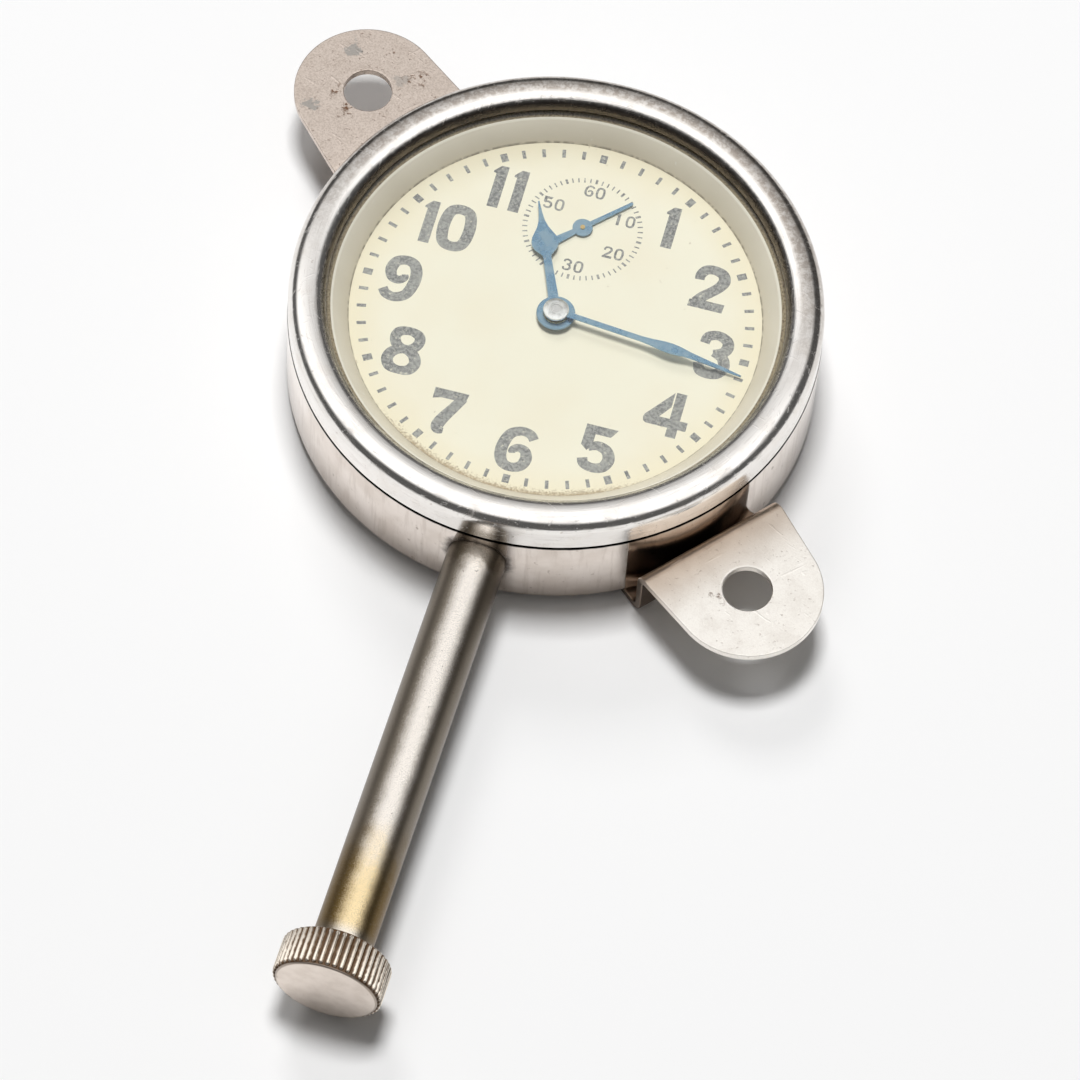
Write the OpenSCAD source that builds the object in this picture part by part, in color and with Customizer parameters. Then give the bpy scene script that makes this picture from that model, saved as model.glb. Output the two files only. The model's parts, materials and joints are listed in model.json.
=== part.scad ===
// Car dashboard clock with a long winding stem, lying on its back.
// Origin on the dial axis at the underside of the mounting strap, +Z out of the dial, stem along -Y.
// All sizes are in millimetres.

/* [Case] */
// Outer radius of the case drum
case_r = 38.5; // [34:0.5:44]
// Thickness of the case wall and back
case_wall = 1.0; // [0.8:0.1:1.4]
// Rounding of the rear edge of the case
case_edge = 0.8; // [0.5:0.1:1.6]
// Height of the dial face above the strap underside
dial_z = 14.6; // [14.4:0.1:15.5]
// Gap seen between case and bezel
parting_gap = 0.2; // [0.1:0.05:0.4]

/* [Bezel and glass] */
// Radius of the half-round section of the bezel
bead_r = 2.5; // [2:0.1:3]
// Thickness of the crystal
glass_t = 1.3; // [1:0.1:1.8]
// Radius of dial left open by the reflector ring
dial_open_r = 29.7; // [28:0.1:30.4]
// Height of the sloped reflector ring
reflector_h = 2.8; // [2.6:0.1:3.4]

/* [Strap] */
// Thickness of the strap sheet
sheet = 1.2; // [1:0.1:1.6]
// Half width of the strap at its folds
strap_half = 11.7; // [11:0.1:13]
// Radius of the rounded ear ends
ear_r = 10.9; // [9:0.1:11]
// Distance of each ear hole from the dial axis
ear_hole_at = 49.6; // [48:0.1:56]
// Radius of the ear holes
ear_hole_r = 3.55; // [2:0.05:5]
// Height of the ear tops
ear_top = 10.2; // [8:0.1:11.5]
// Direction of the ears, counted from the +X side
ear_turn = -40; // [-52:1:-30]

/* [Stem] */
// Outer radius of the stem tube
tube_r = 4.3; // [3.8:0.1:4.8]
// Height of the stem axis
stem_z = 9.5; // [9.3:0.05:9.6]
// Distance of the tube end from the dial axis
tube_end = 103.6; // [70:0.2:130]
// Radius of the winding knob
knob_r = 7.85; // [6:0.05:9]
// Thickness of the winding knob
knob_t = 6.1; // [5:0.1:9]
// Number of ridges round the knob
knob_ridges = 48; // [30:1:64]
// Radius of the winding rod in the tube
rod_r = 1.5; // [1.3:0.1:2]
// Travel of the knob when it is pulled
pull = 2; // [1:0.1:2.2]

/* [Dial and hands] */
// Turn of the dial and movement layout against the stem, in degrees
dial_turn = 1.9; // [-3:0.1:3]
// Thickness of the dial
dial_t = 0.6; // [0.4:0.1:0.8]
// Distance of the seconds arbor from the centre
sec_at = 15.5; // [15.2:0.1:15.8]
// Time shown, whole hours
shown_hour = 11; // [0:1:11]
// Time shown, minutes
shown_minute = 15.9; // [0:0.1:59.9]
// Time shown, seconds
shown_second = 7.5; // [0:0.1:59.9]
// Length of the minute hand
minute_len = 28.2; // [24:0.1:28.6]
// Length of the hour hand
hour_len = 19.1; // [17:0.1:21]
// Length of the seconds hand
second_len = 8.5; // [6:0.1:9]

/* [Movement] */
// Radius of the two movement plates
plate_r = 31.2; // [30.8:0.1:31.6]
// Radial running clearance of pivots and shafts
run = 0.03; // [0.02:0.01:0.05]
// Tooth width as a share of half the pitch
tooth_share = 0.65; // [0.6:0.01:0.7]
// Radius of the small train pivots
pivot_r = 0.4; // [0.3:0.05:0.5]
// Outer radius of the balance rim
balance_r = 6.8; // [6:0.1:6.9]

/* [Hidden] */
$fn = 72;
e = 0.01;

// Heights from the back to the front
case_in_z = sheet + case_wall;
ratchet_z0 = case_in_z + 0.45;
ratchet_z1 = ratchet_z0 + 0.7;
back_z0 = ratchet_z1 + 0.15;
back_z1 = back_z0 + 1.2;
main_z0 = back_z1 + 5.8;
main_z1 = main_z0 + 1.5;
dial_z0 = dial_z - dial_t;
part_z = dial_z + 0.65;
bead_z = dial_z + 4.3;
bead_c = case_r - 3.1;
glass_z0 = dial_z + reflector_h + 0.1;
glass_z1 = glass_z0 + glass_t;
case_in = case_r - case_wall;
neck_r = case_r - 0.65;
neck_in = case_in - 0.6;
glass_r = bead_c - 1.5;

// The reflector follows the bezel lip and the case neck
lip_lap = 0.7;
lip_r = bead_c - bead_r;
slope_top_r = lip_r - lip_lap;
reflector_inset = 3.0;
flange_t = 0.5;
reflector_r = neck_in - reflector_inset;

// The dog screws stand in notches in the edge of the main plate
dog_step = 0.2;
dog_at = plate_r + dog_step;
dog_head_r = 1.8;
dog_r = 0.7;
dog_fit = 0.01;
dog_notch = 0.05;
dogs = [75, 195, 315];

// Room round the tube and its nut for the plate and the dial
nut_r = tube_r + 1.8;
nut_room = 0.3;

// Train levels between the plates
cw_z = back_z1 + 0.2;
iw_z = back_z1 + 1.0;
tw_z = back_z1 + 1.85;
ew_z = back_z1 + 2.8;
fw_z = back_z1 + 3.8;
barrel_z0 = back_z1 + 1.8;
barrel_z1 = back_z1 + 5.2;
great_z = barrel_z1 - 0.8;
wheel_t = 0.45;
bal_z = back_z1 - 0.3;

// Tooth counts and modules
cw_n = 80;
tp_n = 10;
cw_m = 0.24;
tw_n = 75;
fp_n = 10;
tw_m = 0.2;
fw_n = 80;
ep_n = 8;
fw_m = 0.18;
iw_n = 60;
cp_n = 12;
iw_m = 0.3;
bw_n = 78;
ip_n = 12;
bw_m = 0.3;
can_n = 12;
mw_n = 36;
mw_m = 0.25;
mp_n = 10;
hw_n = 40;
hw_m = 0.24;
rat_n = 52;
tr_n = 34;
rat_m = 0.4;
wp_n = 12;
cr_n = 36;
wp_m = 0.3;
sp_n = 10;
sc_n = 24;
sp_m = 0.25;
ss_n = 44;

// Places of the arbors
function polar(r, a) = [r * cos(a), r * sin(a)];
function dir(p, q) = atan2(q[1] - p[1], q[0] - p[0]);
function dist(p, q) = norm([q[0] - p[0], q[1] - p[1]]);
function corner(d, a, b) = acos((d * d + a * a - b * b) / (2 * d * a));
function meet(p, a, q, b, s) = let (t = dir(p, q) + s * corner(dist(p, q), a, b))
  [p[0] + a * cos(t), p[1] + a * sin(t)];

p_c = [0, 0];
p_f = polar(sec_at, 90 + dial_turn);
p_t = meet(p_c, cw_m * (cw_n + tp_n) / 2, p_f, tw_m * (tw_n + fp_n) / 2, -1);
p_e = [p_f[0] + fw_m * (fw_n + ep_n) / 2 * cos(30), p_f[1] + fw_m * (fw_n + ep_n) / 2 * sin(30)];
esc_r = 3.5;
p_p = [p_e[0] + esc_r / cos(30) * cos(-20), p_e[1] + esc_r / cos(30) * sin(-20)];
p_b = [p_p[0] + 6 * cos(-50), p_p[1] + 6 * sin(-50)];
crown_y = -18.5;
p_cr = [0, crown_y];
rat_d = rat_m * (rat_n + tr_n) / 2;
p_bar = [-13.5, crown_y + sqrt(rat_d * rat_d - 13.5 * 13.5)];
p_i = meet(p_c, iw_m * (iw_n + cp_n) / 2, p_bar, bw_m * (bw_n + ip_n) / 2, -1);
p_m = [0, -mw_m * (can_n + mw_n) / 2];
p_s = [0, p_m[1] - mw_m * (mw_n + ss_n) / 2];
wp_y = crown_y - wp_m * cr_n / 2;
setting_gap = 1.0;
sp_y = p_s[1] - sp_m * sc_n / 2 + pull + setting_gap;
pillars = [polar(plate_r - 3.6, 136.5), polar(plate_r - 4.9, -8.7),
  polar(plate_r - 5.1, -57.5), polar(plate_r - 3.2, -113.1)];
foot_r = plate_r - 5.2;
feet = [polar(foot_r, 20), polar(foot_r, 160), polar(foot_r, 240)];
cock_dir = -50;
pallet_cock_dir = 60;
pallet_cock_len = 5.6;
pallet_foot_r = 1.6;
pallet_foot = [p_p[0] + pallet_cock_len * cos(pallet_cock_dir),
  p_p[1] + pallet_cock_len * sin(pallet_cock_dir)];
barrel_r = bw_m * bw_n / 2 - 0.9;
barrel_wall = 0.6;
barrel_in = barrel_r - barrel_wall;
click_p = [p_bar[0] + 12.9 * cos(150), p_bar[1] + 12.9 * sin(150)];

// Angle of a tooth of gear b that fits gear a, seen along the line from a to b
function mesh(na, pa, nb, line) = line + 180 - (pa - line) * na / nb + 180 / nb;
ph_cw = dir(p_c, p_t);
ph_tp = mesh(cw_n, ph_cw, tp_n, dir(p_c, p_t));
ph_tw = dir(p_t, p_f);
ph_fp = mesh(tw_n, ph_tw, fp_n, dir(p_t, p_f));
ph_fw = dir(p_f, p_e);
ph_ep = mesh(fw_n, ph_fw, ep_n, dir(p_f, p_e));
ph_iw = dir(p_i, p_c);
ph_cp = mesh(iw_n, ph_iw, cp_n, dir(p_i, p_c));
ph_bw = dir(p_bar, p_i);
ph_ip = mesh(bw_n, ph_bw, ip_n, dir(p_bar, p_i));
ph_can = -90;
ph_mw = mesh(can_n, ph_can, mw_n, -90);
ph_mp = 90;
ph_hw = mesh(mp_n, ph_mp, hw_n, 90);
ph_ss = mesh(mw_n, ph_mw, ss_n, -90);
ph_tr = dir(p_cr, p_bar);
ph_rat = mesh(tr_n, ph_tr, rat_n, dir(p_cr, p_bar));

// Half width of a straight-sided tooth at radius r
function tooth_half(r, rp, m) = max(PI * m / 4 * tooth_share - (r - rp) * tan(20), 0.02 * m);
function tooth_deg(r, rp, m) = tooth_half(r, rp, m) / r * 180 / PI;
function gear_points(n, m, ph) = let (rp = n * m / 2, ra = rp + 0.75 * m, rf = rp - 1.15 * m)
  [for (i = [0 : n - 1]) for (k = [[rf, -1], [ra, -1], [ra, 1], [rf, 1]])
    polar(k[0], ph + 360 * i / n + k[1] * tooth_deg(k[0], rp, m))];

module gear(n, m, h, ph) {
  linear_extrude(height = h) polygon(gear_points(n, m, ph));
}

module at(p, z) {
  translate([p[0], p[1], z]) children();
}

module disc(r, h) {
  cylinder(r = r, h = h);
}

module ring(ro, ri, h) {
  difference() {
    cylinder(r = ro, h = h);
    translate([0, 0, -1]) cylinder(r = ri, h = h + 2);
  }
}

// Wheel with five crossings
module crossed(n, m, h, ph, hub, rim) {
  difference() {
    gear(n, m, h, ph);
    for (i = [0 : 4])
      rotate([0, 0, i * 72])
        translate([0, 0, -1]) linear_extrude(height = h + 2)
          polygon(concat(
            [for (k = [-26 : 6.5 : 26]) polar(rim, k)],
            [for (k = [22 : -11 : -22]) polar(hub, k)]));
  }
}

// A bar lying along -Y at the stem height, from y0 to y1 (both given as positive distances)
module stem_bar(r, y0, y1) {
  translate([0, -y0, stem_z]) rotate([90, 0, 0]) cylinder(r = r, h = y1 - y0);
}

// Case drum with its back, the stepped neck for the bezel and the stem hole
module case_body() {
  color([0.72, 0.70, 0.66]) difference() {
    union() {
      translate([0, 0, sheet + case_edge])
        cylinder(r = case_r, h = part_z - parting_gap / 2 - sheet - case_edge);
      translate([0, 0, sheet]) cylinder(r = case_r - case_edge, h = case_edge + e);
      translate([0, 0, sheet + case_edge])
        rotate_extrude() translate([case_r - case_edge, 0]) intersection() {
          circle(r = case_edge);
          translate([-case_edge, -case_edge]) square([case_edge * 2, case_edge]);
        }
      translate([0, 0, part_z - 1]) cylinder(r = neck_r, h = 2.55);
    }
    translate([0, 0, case_in_z]) cylinder(r = case_in, h = part_z - 1 - case_in_z);
    translate([0, 0, part_z - 1 - e]) cylinder(r = neck_in, h = 4);
    stem_bar(tube_r + 0.05, case_in - 2, case_r + 2);
    for (s = [-1, 1])
      rotate([0, 0, ear_turn]) translate([s * 20, 0, sheet - 1]) cylinder(r = 1.3, h = case_wall + 2);
  }
}

// Half-round bezel with a straight skirt over the case neck
module bezel() {
  color([0.80, 0.78, 0.72]) difference() {
    rotate_extrude() difference() {
      union() {
        translate([bead_c, bead_z]) circle(r = bead_r);
        translate([neck_r + 0.1, part_z + parting_gap / 2])
          square([case_r - 0.05 - neck_r - 0.1, 2.1]);
        translate([bead_c - 1, part_z + 1.7]) square([case_r - 0.05 - bead_c + 1, 0.5]);
        translate([bead_c - 1, part_z + 2.1]) square([case_r - 0.45 - bead_c + 1, 0.5]);
        translate([bead_c - 1, part_z + 2.5]) square([3.1, 1]);
      }
      translate([0, part_z - 2]) square([glass_r + 0.1, glass_z1 + 0.05 - part_z + 2]);
      translate([0, part_z - 2]) square([neck_in + 0.1, glass_z0 + 0.02 - part_z + 2]);
      translate([0, part_z - 2]) square([neck_r + 0.1, 3.75]);
    }
  }
}

// Flat glass held under the bezel lip
module crystal() {
  color([0.85, 0.92, 0.95, 0.3]) translate([0, 0, glass_z0]) cylinder(r = glass_r, h = glass_t);
}

// Sloped ring between dial and glass
module reflector_ring() {
  color([0.62, 0.62, 0.60]) difference() {
    union() {
      translate([0, 0, dial_z]) cylinder(r = reflector_r, h = glass_z0 - flange_t + e - dial_z);
      translate([0, 0, glass_z0 - flange_t]) cylinder(r = neck_in - 0.2, h = flange_t);
    }
    translate([0, 0, dial_z])
      cylinder(r1 = dial_open_r, r2 = slope_top_r, h = reflector_h + 0.1);
    translate([0, 0, dial_z - 1]) cylinder(r = dial_open_r, h = 1 + e);
    translate([0, 0, glass_z0 - 0.1]) cylinder(r = slope_top_r, h = 2);
  }
}

// One end of the strap: leg beside the case, bend and drilled ear, drawn along +X
module strap_end() {
  leg = case_r + 0.7;
  bend = 1.0;
  leg_z0 = sheet + bend;
  top0 = ear_top - sheet;
  fold = leg + sheet + bend;
  run_in = ear_hole_at - fold;
  lean = asin((strap_half - ear_r) / norm([run_in, strap_half]));
  translate([0, -strap_half, 0]) cube([leg - bend, strap_half * 2, sheet]);
  translate([leg - bend, strap_half, leg_z0]) rotate([90, 0, 0]) intersection() {
    ring(sheet + bend, bend, strap_half * 2);
    translate([0, -sheet - bend, 0]) cube([sheet + bend, sheet + bend, strap_half * 2]);
  }
  translate([leg, -strap_half, leg_z0]) cube([sheet, strap_half * 2, top0 - bend - leg_z0]);
  translate([fold, strap_half, top0 - bend]) rotate([90, 0, 0]) intersection() {
    ring(sheet + bend, bend, strap_half * 2);
    translate([-sheet - bend, 0, 0]) cube([sheet + bend, sheet + bend, strap_half * 2]);
  }
  difference() {
    union() {
      translate([ear_hole_at, 0, top0]) cylinder(r = ear_r, h = sheet);
      translate([0, 0, top0]) linear_extrude(height = sheet) polygon([
        [fold, -strap_half],
        [ear_hole_at + ear_r * sin(lean), -ear_r * cos(lean)],
        [ear_hole_at + ear_r * sin(lean), ear_r * cos(lean)],
        [fold, strap_half]]);
    }
    translate([ear_hole_at, 0, top0 - 1]) cylinder(r = ear_hole_r, h = sheet + 2);
    translate([fold - 10, -30, top0 - 1]) cube([10, 60, sheet + 2]);
  }
}

// Bent sheet strap passing under the case with an ear on each side
module mounting_strap() {
  color([0.60, 0.58, 0.54]) difference() {
    rotate([0, 0, ear_turn]) {
      strap_end();
      rotate([0, 0, 180]) strap_end();
    }
    for (s = [-1, 1])
      rotate([0, 0, ear_turn]) translate([s * 20, 0, -1]) cylinder(r = 1.3, h = sheet + 2);
  }
}

// Flush rivets joining strap and case back
module strap_rivets() {
  color([0.55, 0.53, 0.50]) for (s = [-1, 1])
    rotate([0, 0, ear_turn]) translate([s * 20, 0, 0]) {
      translate([0, 0, 0.1]) cylinder(r = 1.29, h = case_in_z - 0.1 + e);
      translate([0, 0, case_in_z]) cylinder(r = 2.2, h = 0.3);
    }
}

// Long tube that carries the winding rod
module stem_tube() {
  color([0.66, 0.62, 0.54]) difference() {
    stem_bar(tube_r, case_in - 3.4, tube_end);
    stem_bar(tube_r - 1.1, case_in - 5, tube_end + 1);
  }
}

// Thin nut that clamps the tube from inside the case
module tube_locknut() {
  color([0.70, 0.60, 0.35]) difference() {
    translate([0, -(case_in - 2.6), stem_z]) rotate([90, 0, 0]) rotate([0, 0, 30])
      cylinder(r = nut_r, h = 1.6, $fn = 6);
    stem_bar(tube_r + 0.01, case_in - 6, case_in + 2);
  }
}

// Bearing bushes at both ends of the tube
module tube_bushes() {
  color([0.72, 0.58, 0.30]) for (k = [[case_in - 3.4, case_in + 1.6], [tube_end - 6.2, tube_end - 0.2]])
    difference() {
      stem_bar(tube_r - 1.11, k[0], k[1]);
      stem_bar(rod_r + run, k[0] - 1, k[1] + 1);
    }
}

// Winding rod, reduced to the thinner stem inside the movement
module winding_rod() {
  color([0.60, 0.60, 0.60]) union() {
    stem_bar(rod_r, 31.5, tube_end + 0.3 + knob_t - 1.5);
    stem_bar(1.0, -sp_y + 0.8, 31.6);
    stem_bar(0.6, -sp_y - 0.4, -sp_y + 0.9);
  }
}

// Ridged winding knob
module winding_knob() {
  k0 = tube_end + 0.3;
  color([0.74, 0.70, 0.62]) difference() {
    translate([0, -k0, stem_z]) rotate([90, 0, 0]) union() {
      translate([0, 0, 0.4]) linear_extrude(height = knob_t - 0.8) polygon([for (i = [0 : knob_ridges - 1])
        for (k = [[-0.34, -0.35], [-0.12, 0], [0.12, 0], [0.34, -0.35]])
          polar(knob_r + k[1], 360 * (i + k[0]) / knob_ridges)]);
      cylinder(r1 = knob_r - 0.75, r2 = knob_r - 0.4, h = 0.35);
      translate([0, 0, 0.35]) cylinder(r = knob_r - 0.4, h = knob_t - 0.7);
      translate([0, 0, knob_t - 0.35]) cylinder(r1 = knob_r - 0.4, r2 = knob_r - 0.75, h = 0.35);
    }
    stem_bar(rod_r + 0.01, k0 - 1, k0 + knob_t - 1.49);
  }
}

// Dial disc with three soldered feet
module dial() {
  color([0.95, 0.92, 0.82]) difference() {
    union() {
      translate([0, 0, dial_z0]) cylinder(r = dial_open_r + 2.2, h = dial_t);
      for (p = feet)
        at(p, main_z0 + 0.3) disc(0.8, dial_z0 - main_z0 - 0.3 + e);
    }
    translate([0, 0, dial_z0 - 1]) cylinder(r = 2.3, h = dial_t + 2);
    at(p_f, dial_z0 - 1) disc(1.0, dial_t + 2);
    stem_bar(nut_r + nut_room, case_in - 2.6 - nut_room, case_r);
  }
}

// Side screws in the plate edge that grip the dial feet
module dial_foot_screws() {
  color([0.45, 0.45, 0.48]) for (p = feet)
    translate([0, 0, main_z0 + 0.75]) rotate([0, 0, atan2(p[1], p[0])]) rotate([0, 90, 0])
      translate([0, 0, foot_r + 0.86]) cylinder(r = 0.44, h = plate_r - foot_r - 1.1);
}

// Outline of half a hand along +X as distance and half width pairs, mirrored into a closed shape
function hand_shape(q) = concat(q, [for (i = [len(q) - 1 : -1 : 0]) [q[i][0], -q[i][1]]]);

// Spade hour hand on its pipe
module hour_hand() {
  k = hour_len / 19.1;
  ang = 90 - 30 * (shown_hour + shown_minute / 60) + dial_turn;
  color([0.12, 0.14, 0.22]) translate([0, 0, dial_z + 0.9]) difference() {
    rotate([0, 0, ang]) union() {
      disc(2.8, 0.25);
      linear_extrude(height = 0.25) polygon(hand_shape([
        [1.5, 0.75], [5 * k, 0.68], [9.2 * k, 0.58], [9.8 * k, 0.62], [10.3 * k, 1.05], [10.9 * k, 1.6],
        [11.6 * k, 1.92], [12.3 * k, 1.95], [13 * k, 1.75], [13.8 * k, 1.3], [14.6 * k, 0.85],
        [15.6 * k, 0.5], [17 * k, 0.26], [hour_len, 0.1]]));
    }
    translate([0, 0, -1]) cylinder(r = 1.81, h = 3);
  }
}

// Slender minute hand with a small bulge
module minute_hand() {
  k = minute_len / 28.2;
  ang = 90 - 6 * shown_minute + dial_turn;
  color([0.12, 0.14, 0.22]) translate([0, 0, dial_z + 1.65]) difference() {
    rotate([0, 0, ang]) union() {
      disc(1.7, 0.2);
      linear_extrude(height = 0.2) polygon(hand_shape([
        [1, 0.5], [3 * k, 0.42], [13 * k, 0.42], [14.6 * k, 0.55], [16.4 * k, 0.8], [17.6 * k, 0.84],
        [18.8 * k, 0.72], [19.6 * k, 0.6]]));
      translate([19.5 * k, 0, 0]) rotate([0, 8, 0]) linear_extrude(height = 0.2) polygon(hand_shape([
        [0, 0.6], [0.9 * k, 0.48], [3.5 * k, 0.36], [6.5 * k, 0.24], [minute_len - 19.5 * k, 0.1]]));
    }
    translate([0, 0, -1]) cylinder(r = 1.26, h = 3);
  }
}

// Domed collet that holds the minute hand
module hand_collet() {
  z0 = dial_z + 1.85;
  color([0.70, 0.70, 0.68]) translate([0, 0, z0]) difference() {
    union() {
      cylinder(r = 1.85, h = 0.3);
      translate([0, 0, 0.3 - e]) cylinder(r1 = 1.85, r2 = 1.35, h = 0.25 + e);
    }
    translate([0, 0, -1]) cylinder(r = 0.72, h = 3);
    translate([0, 0, -1]) cylinder(r = 1.26, h = 1.22);
  }
}

// Small seconds hand with a counterweight
module seconds_hand() {
  ang = 90 - 6 * shown_second + dial_turn;
  color([0.12, 0.14, 0.22]) at(p_f, dial_z + 0.3) difference() {
    rotate([0, 0, ang]) union() {
      disc(1.47, 0.2);
      linear_extrude(height = 0.2) polygon([[0, -0.4], [second_len - 0.3, -0.26], [second_len, -0.12],
        [second_len, 0.12], [second_len - 0.3, 0.26], [0, 0.4]]);
      linear_extrude(height = 0.2) polygon([[0, 0.32], [-4.6, 0.62], [-4.6, -0.62], [0, -0.32]]);
    }
    translate([0, 0, -1]) cylinder(r = 0.36, h = 3);
  }
}

// Hour wheel and the pipe that carries the hour hand
module hour_wheel() {
  color([0.78, 0.62, 0.28]) difference() {
    union() {
      translate([0, 0, main_z1 + 0.75]) gear(hw_n, hw_m, 0.4, ph_hw);
      translate([0, 0, main_z1 + 0.75]) cylinder(r = 1.8, h = dial_z + 1.3 - main_z1 - 0.75);
    }
    translate([0, 0, main_z1]) cylinder(r = 1.25 + run, h = 6);
  }
}

// Minute wheel and pinion on a stud
module minute_wheel() {
  color([0.78, 0.62, 0.28]) at(p_m, 0) difference() {
    union() {
      translate([0, 0, main_z1 + 0.1]) gear(mw_n, mw_m, 0.4, ph_mw);
      translate([0, 0, main_z1 + 0.4]) gear(mp_n, hw_m, 0.9, ph_mp);
    }
    translate([0, 0, main_z1 - 1]) cylinder(r = 0.5 + run, h = 4);
  }
}

// Cannon pinion pushed on the centre arbor
module cannon_pinion() {
  color([0.62, 0.62, 0.62]) difference() {
    union() {
      translate([0, 0, main_z1 + 0.06]) gear(can_n, mw_m, 0.56, ph_can);
      translate([0, 0, main_z1 + 0.06]) cylinder(r = 1.25, h = dial_z + 2.05 - main_z1 - 0.06);
    }
    translate([0, 0, main_z1 - 1]) cylinder(r = 0.71, h = 8);
  }
}

// Face-toothed ring with n teeth at radius r, teeth from z0 to z1
module face_teeth(n, m, z0, z1, ph) {
  r = n * m / 2;
  for (i = [0 : n - 1])
    rotate([0, 0, ph + 360 * i / n]) translate([r - 0.35, -PI * m / 4 * 0.55, z0])
      cube([0.7, PI * m / 2 * 0.55, z1 - z0]);
}

// Setting wheel: face teeth under the main plate, spur teeth in front of it
module setting_wheel() {
  z_tip = stem_z + sp_n * sp_m / 2 - 0.12;
  z_web = stem_z + sp_n * sp_m / 2 + 0.75 * sp_m + 0.12;
  r = sp_m * sc_n / 2;
  color([0.78, 0.62, 0.28]) at(p_s, 0) union() {
    face_teeth(sc_n, sp_m, z_tip, z_web + 0.1, -90 + 180 / sc_n);
    translate([0, 0, z_web]) cylinder(r = r + 0.36, h = 0.35);
    translate([0, 0, z_web + 0.1]) cylinder(r = 1.0, h = main_z1 + 0.45 - z_web - 0.1);
    translate([0, 0, main_z1 + 0.1]) gear(ss_n, mw_m, 0.4, ph_ss);
  }
}

// Setting pinion fixed on the inner end of the stem
module setting_pinion() {
  color([0.62, 0.62, 0.62]) difference() {
    translate([0, sp_y + 0.4, stem_z]) rotate([90, 0, 0]) gear(sp_n, sp_m, 0.8, 90);
    stem_bar(0.6 + e, -sp_y - 2, -sp_y + 2);
  }
}

// Ring that carries the movement inside the case
module movement_ring() {
  color([0.70, 0.60, 0.36]) difference() {
    union() {
      translate([0, 0, main_z0 - 1.5]) ring(case_in - 0.15, plate_r - 1.4, 1.5);
      translate([0, 0, case_in_z]) ring(case_in - 0.15, case_in - 1.2, main_z0 - 1 - case_in_z);
    }
    translate([-8.2, -case_r, case_in_z + 0.6]) cube([16.4, 12, 12]);
    for (a = dogs)
      at(polar(dog_at, a), main_z0 - 2) disc(dog_r + dog_fit, 4);
    at(p_bar, case_in_z) disc(bw_m * (bw_n / 2 + 0.75) + 0.3, main_z0);
    at(pallet_foot, case_in_z) disc(pallet_foot_r + 0.3, main_z0);
  }
}

// Dog screws whose heads hold the main plate on the ring
module case_screws() {
  color([0.45, 0.45, 0.48]) for (a = dogs)
    at(polar(dog_at, a), 0) difference() {
      union() {
        translate([0, 0, main_z0 - 1.3]) cylinder(r = dog_r, h = main_z1 - main_z0 + 1.4);
        translate([0, 0, main_z1]) cylinder(r = dog_head_r, h = 0.7);
      }
      translate([-dog_head_r - 1, -0.2, main_z1 + 0.4]) cube([dog_head_r * 2 + 2, 0.4, 1]);
    }
}

// Main plate under the dial
module main_plate() {
  z_web = stem_z + sp_n * sp_m / 2 + 0.75 * sp_m + 0.12;
  color([0.76, 0.62, 0.32]) difference() {
    union() {
      translate([0, 0, main_z0]) cylinder(r = plate_r, h = main_z1 - main_z0);
      at(p_m, main_z1 - e) disc(0.5, 1.4);
    }
    translate([-2.9, -plate_r - 2, main_z0 - 1]) cube([5.8, plate_r + 2 + wp_y + 1.2, 4]);
    translate([-1.9, sp_y - 3, main_z0 - 1]) cube([3.8, 4, z_web + 0.2 - main_z0 + 1]);
    at(p_s, main_z0 - 1) disc(sp_m * sc_n / 2 + 0.6, z_web + 0.45 - main_z0 + 1);
    at(p_s, main_z0 - 1) disc(1.0 + run, 4);
    at(p_c, main_z0 - 1) disc(1.0 + run, 4);
    at(p_f, main_z0 - 1) disc(1.2, 4);
    for (p = [p_i, p_t, p_e, p_p, p_b])
      at(p, main_z0 - 1) disc(1.2, 4);
    at(p_bar, main_z0 - 1) disc(1.5 + run, 4);
    for (p = pillars)
      at(p, main_z0 - 1) disc(0.91, 4);
    for (p = feet) {
      at(p, main_z0 - 1) disc(0.85, 4);
      translate([0, 0, main_z0 + 0.75]) rotate([0, 0, atan2(p[1], p[0])]) rotate([0, 90, 0])
        translate([0, 0, foot_r]) cylinder(r = 0.45, h = 8);
    }
    at(yoke_screw, main_z0 - 1) disc(0.61, 4);
    stem_bar(nut_r + nut_room, case_in - 3.6, case_r);
    for (a = dogs)
      at(polar(dog_at, a), main_z0 - 1) disc(dog_r + dog_notch, 4);
  }
}
yoke_screw = [5.2, -28.2];

// Back plate with the opening for the balance
module back_plate() {
  color([0.76, 0.62, 0.32]) difference() {
    translate([0, 0, back_z0]) cylinder(r = plate_r - 1.8, h = back_z1 - back_z0);
    at(p_b, back_z0 - 1) disc(balance_r + 1.2, 4);
    for (p = [p_c, p_i, p_t, p_f, p_e])
      at(p, back_z0 - 1) disc(1.2, 4);
    at(p_bar, back_z0 - 1) disc(1.8 + run, 4);
    at(p_cr, back_z0 - 1) disc(1.5 + run, 4);
    for (p = pillars)
      at(p, back_z0 - 1) disc(0.91, 4);
    at(click_p, back_z0 - 1) disc(0.71, 4);
    at(spring_foot, back_z0 - 1) disc(0.61, 4);
    for (p = cock_feet)
      at(p, back_z0 - 1) disc(0.71, 4);
  }
}
cock_feet = [for (s = [-1, 1])
  [p_b[0] + 10.4 * cos(cock_dir + s * 13), p_b[1] + 10.4 * sin(cock_dir + s * 13)]];
spring_foot = [click_p[0] + 7.2 * cos(62), click_p[1] + 7.2 * sin(62)];

// Four pillars between the plates
module plate_pillars() {
  color([0.74, 0.60, 0.30]) for (p = pillars)
    at(p, back_z1) {
      disc(1.7, main_z0 - back_z1);
      translate([0, 0, -0.5]) cylinder(r = 0.9, h = 0.6);
      translate([0, 0, main_z0 - back_z1 - 0.1]) cylinder(r = 0.9, h = 1.2);
    }
}

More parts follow.
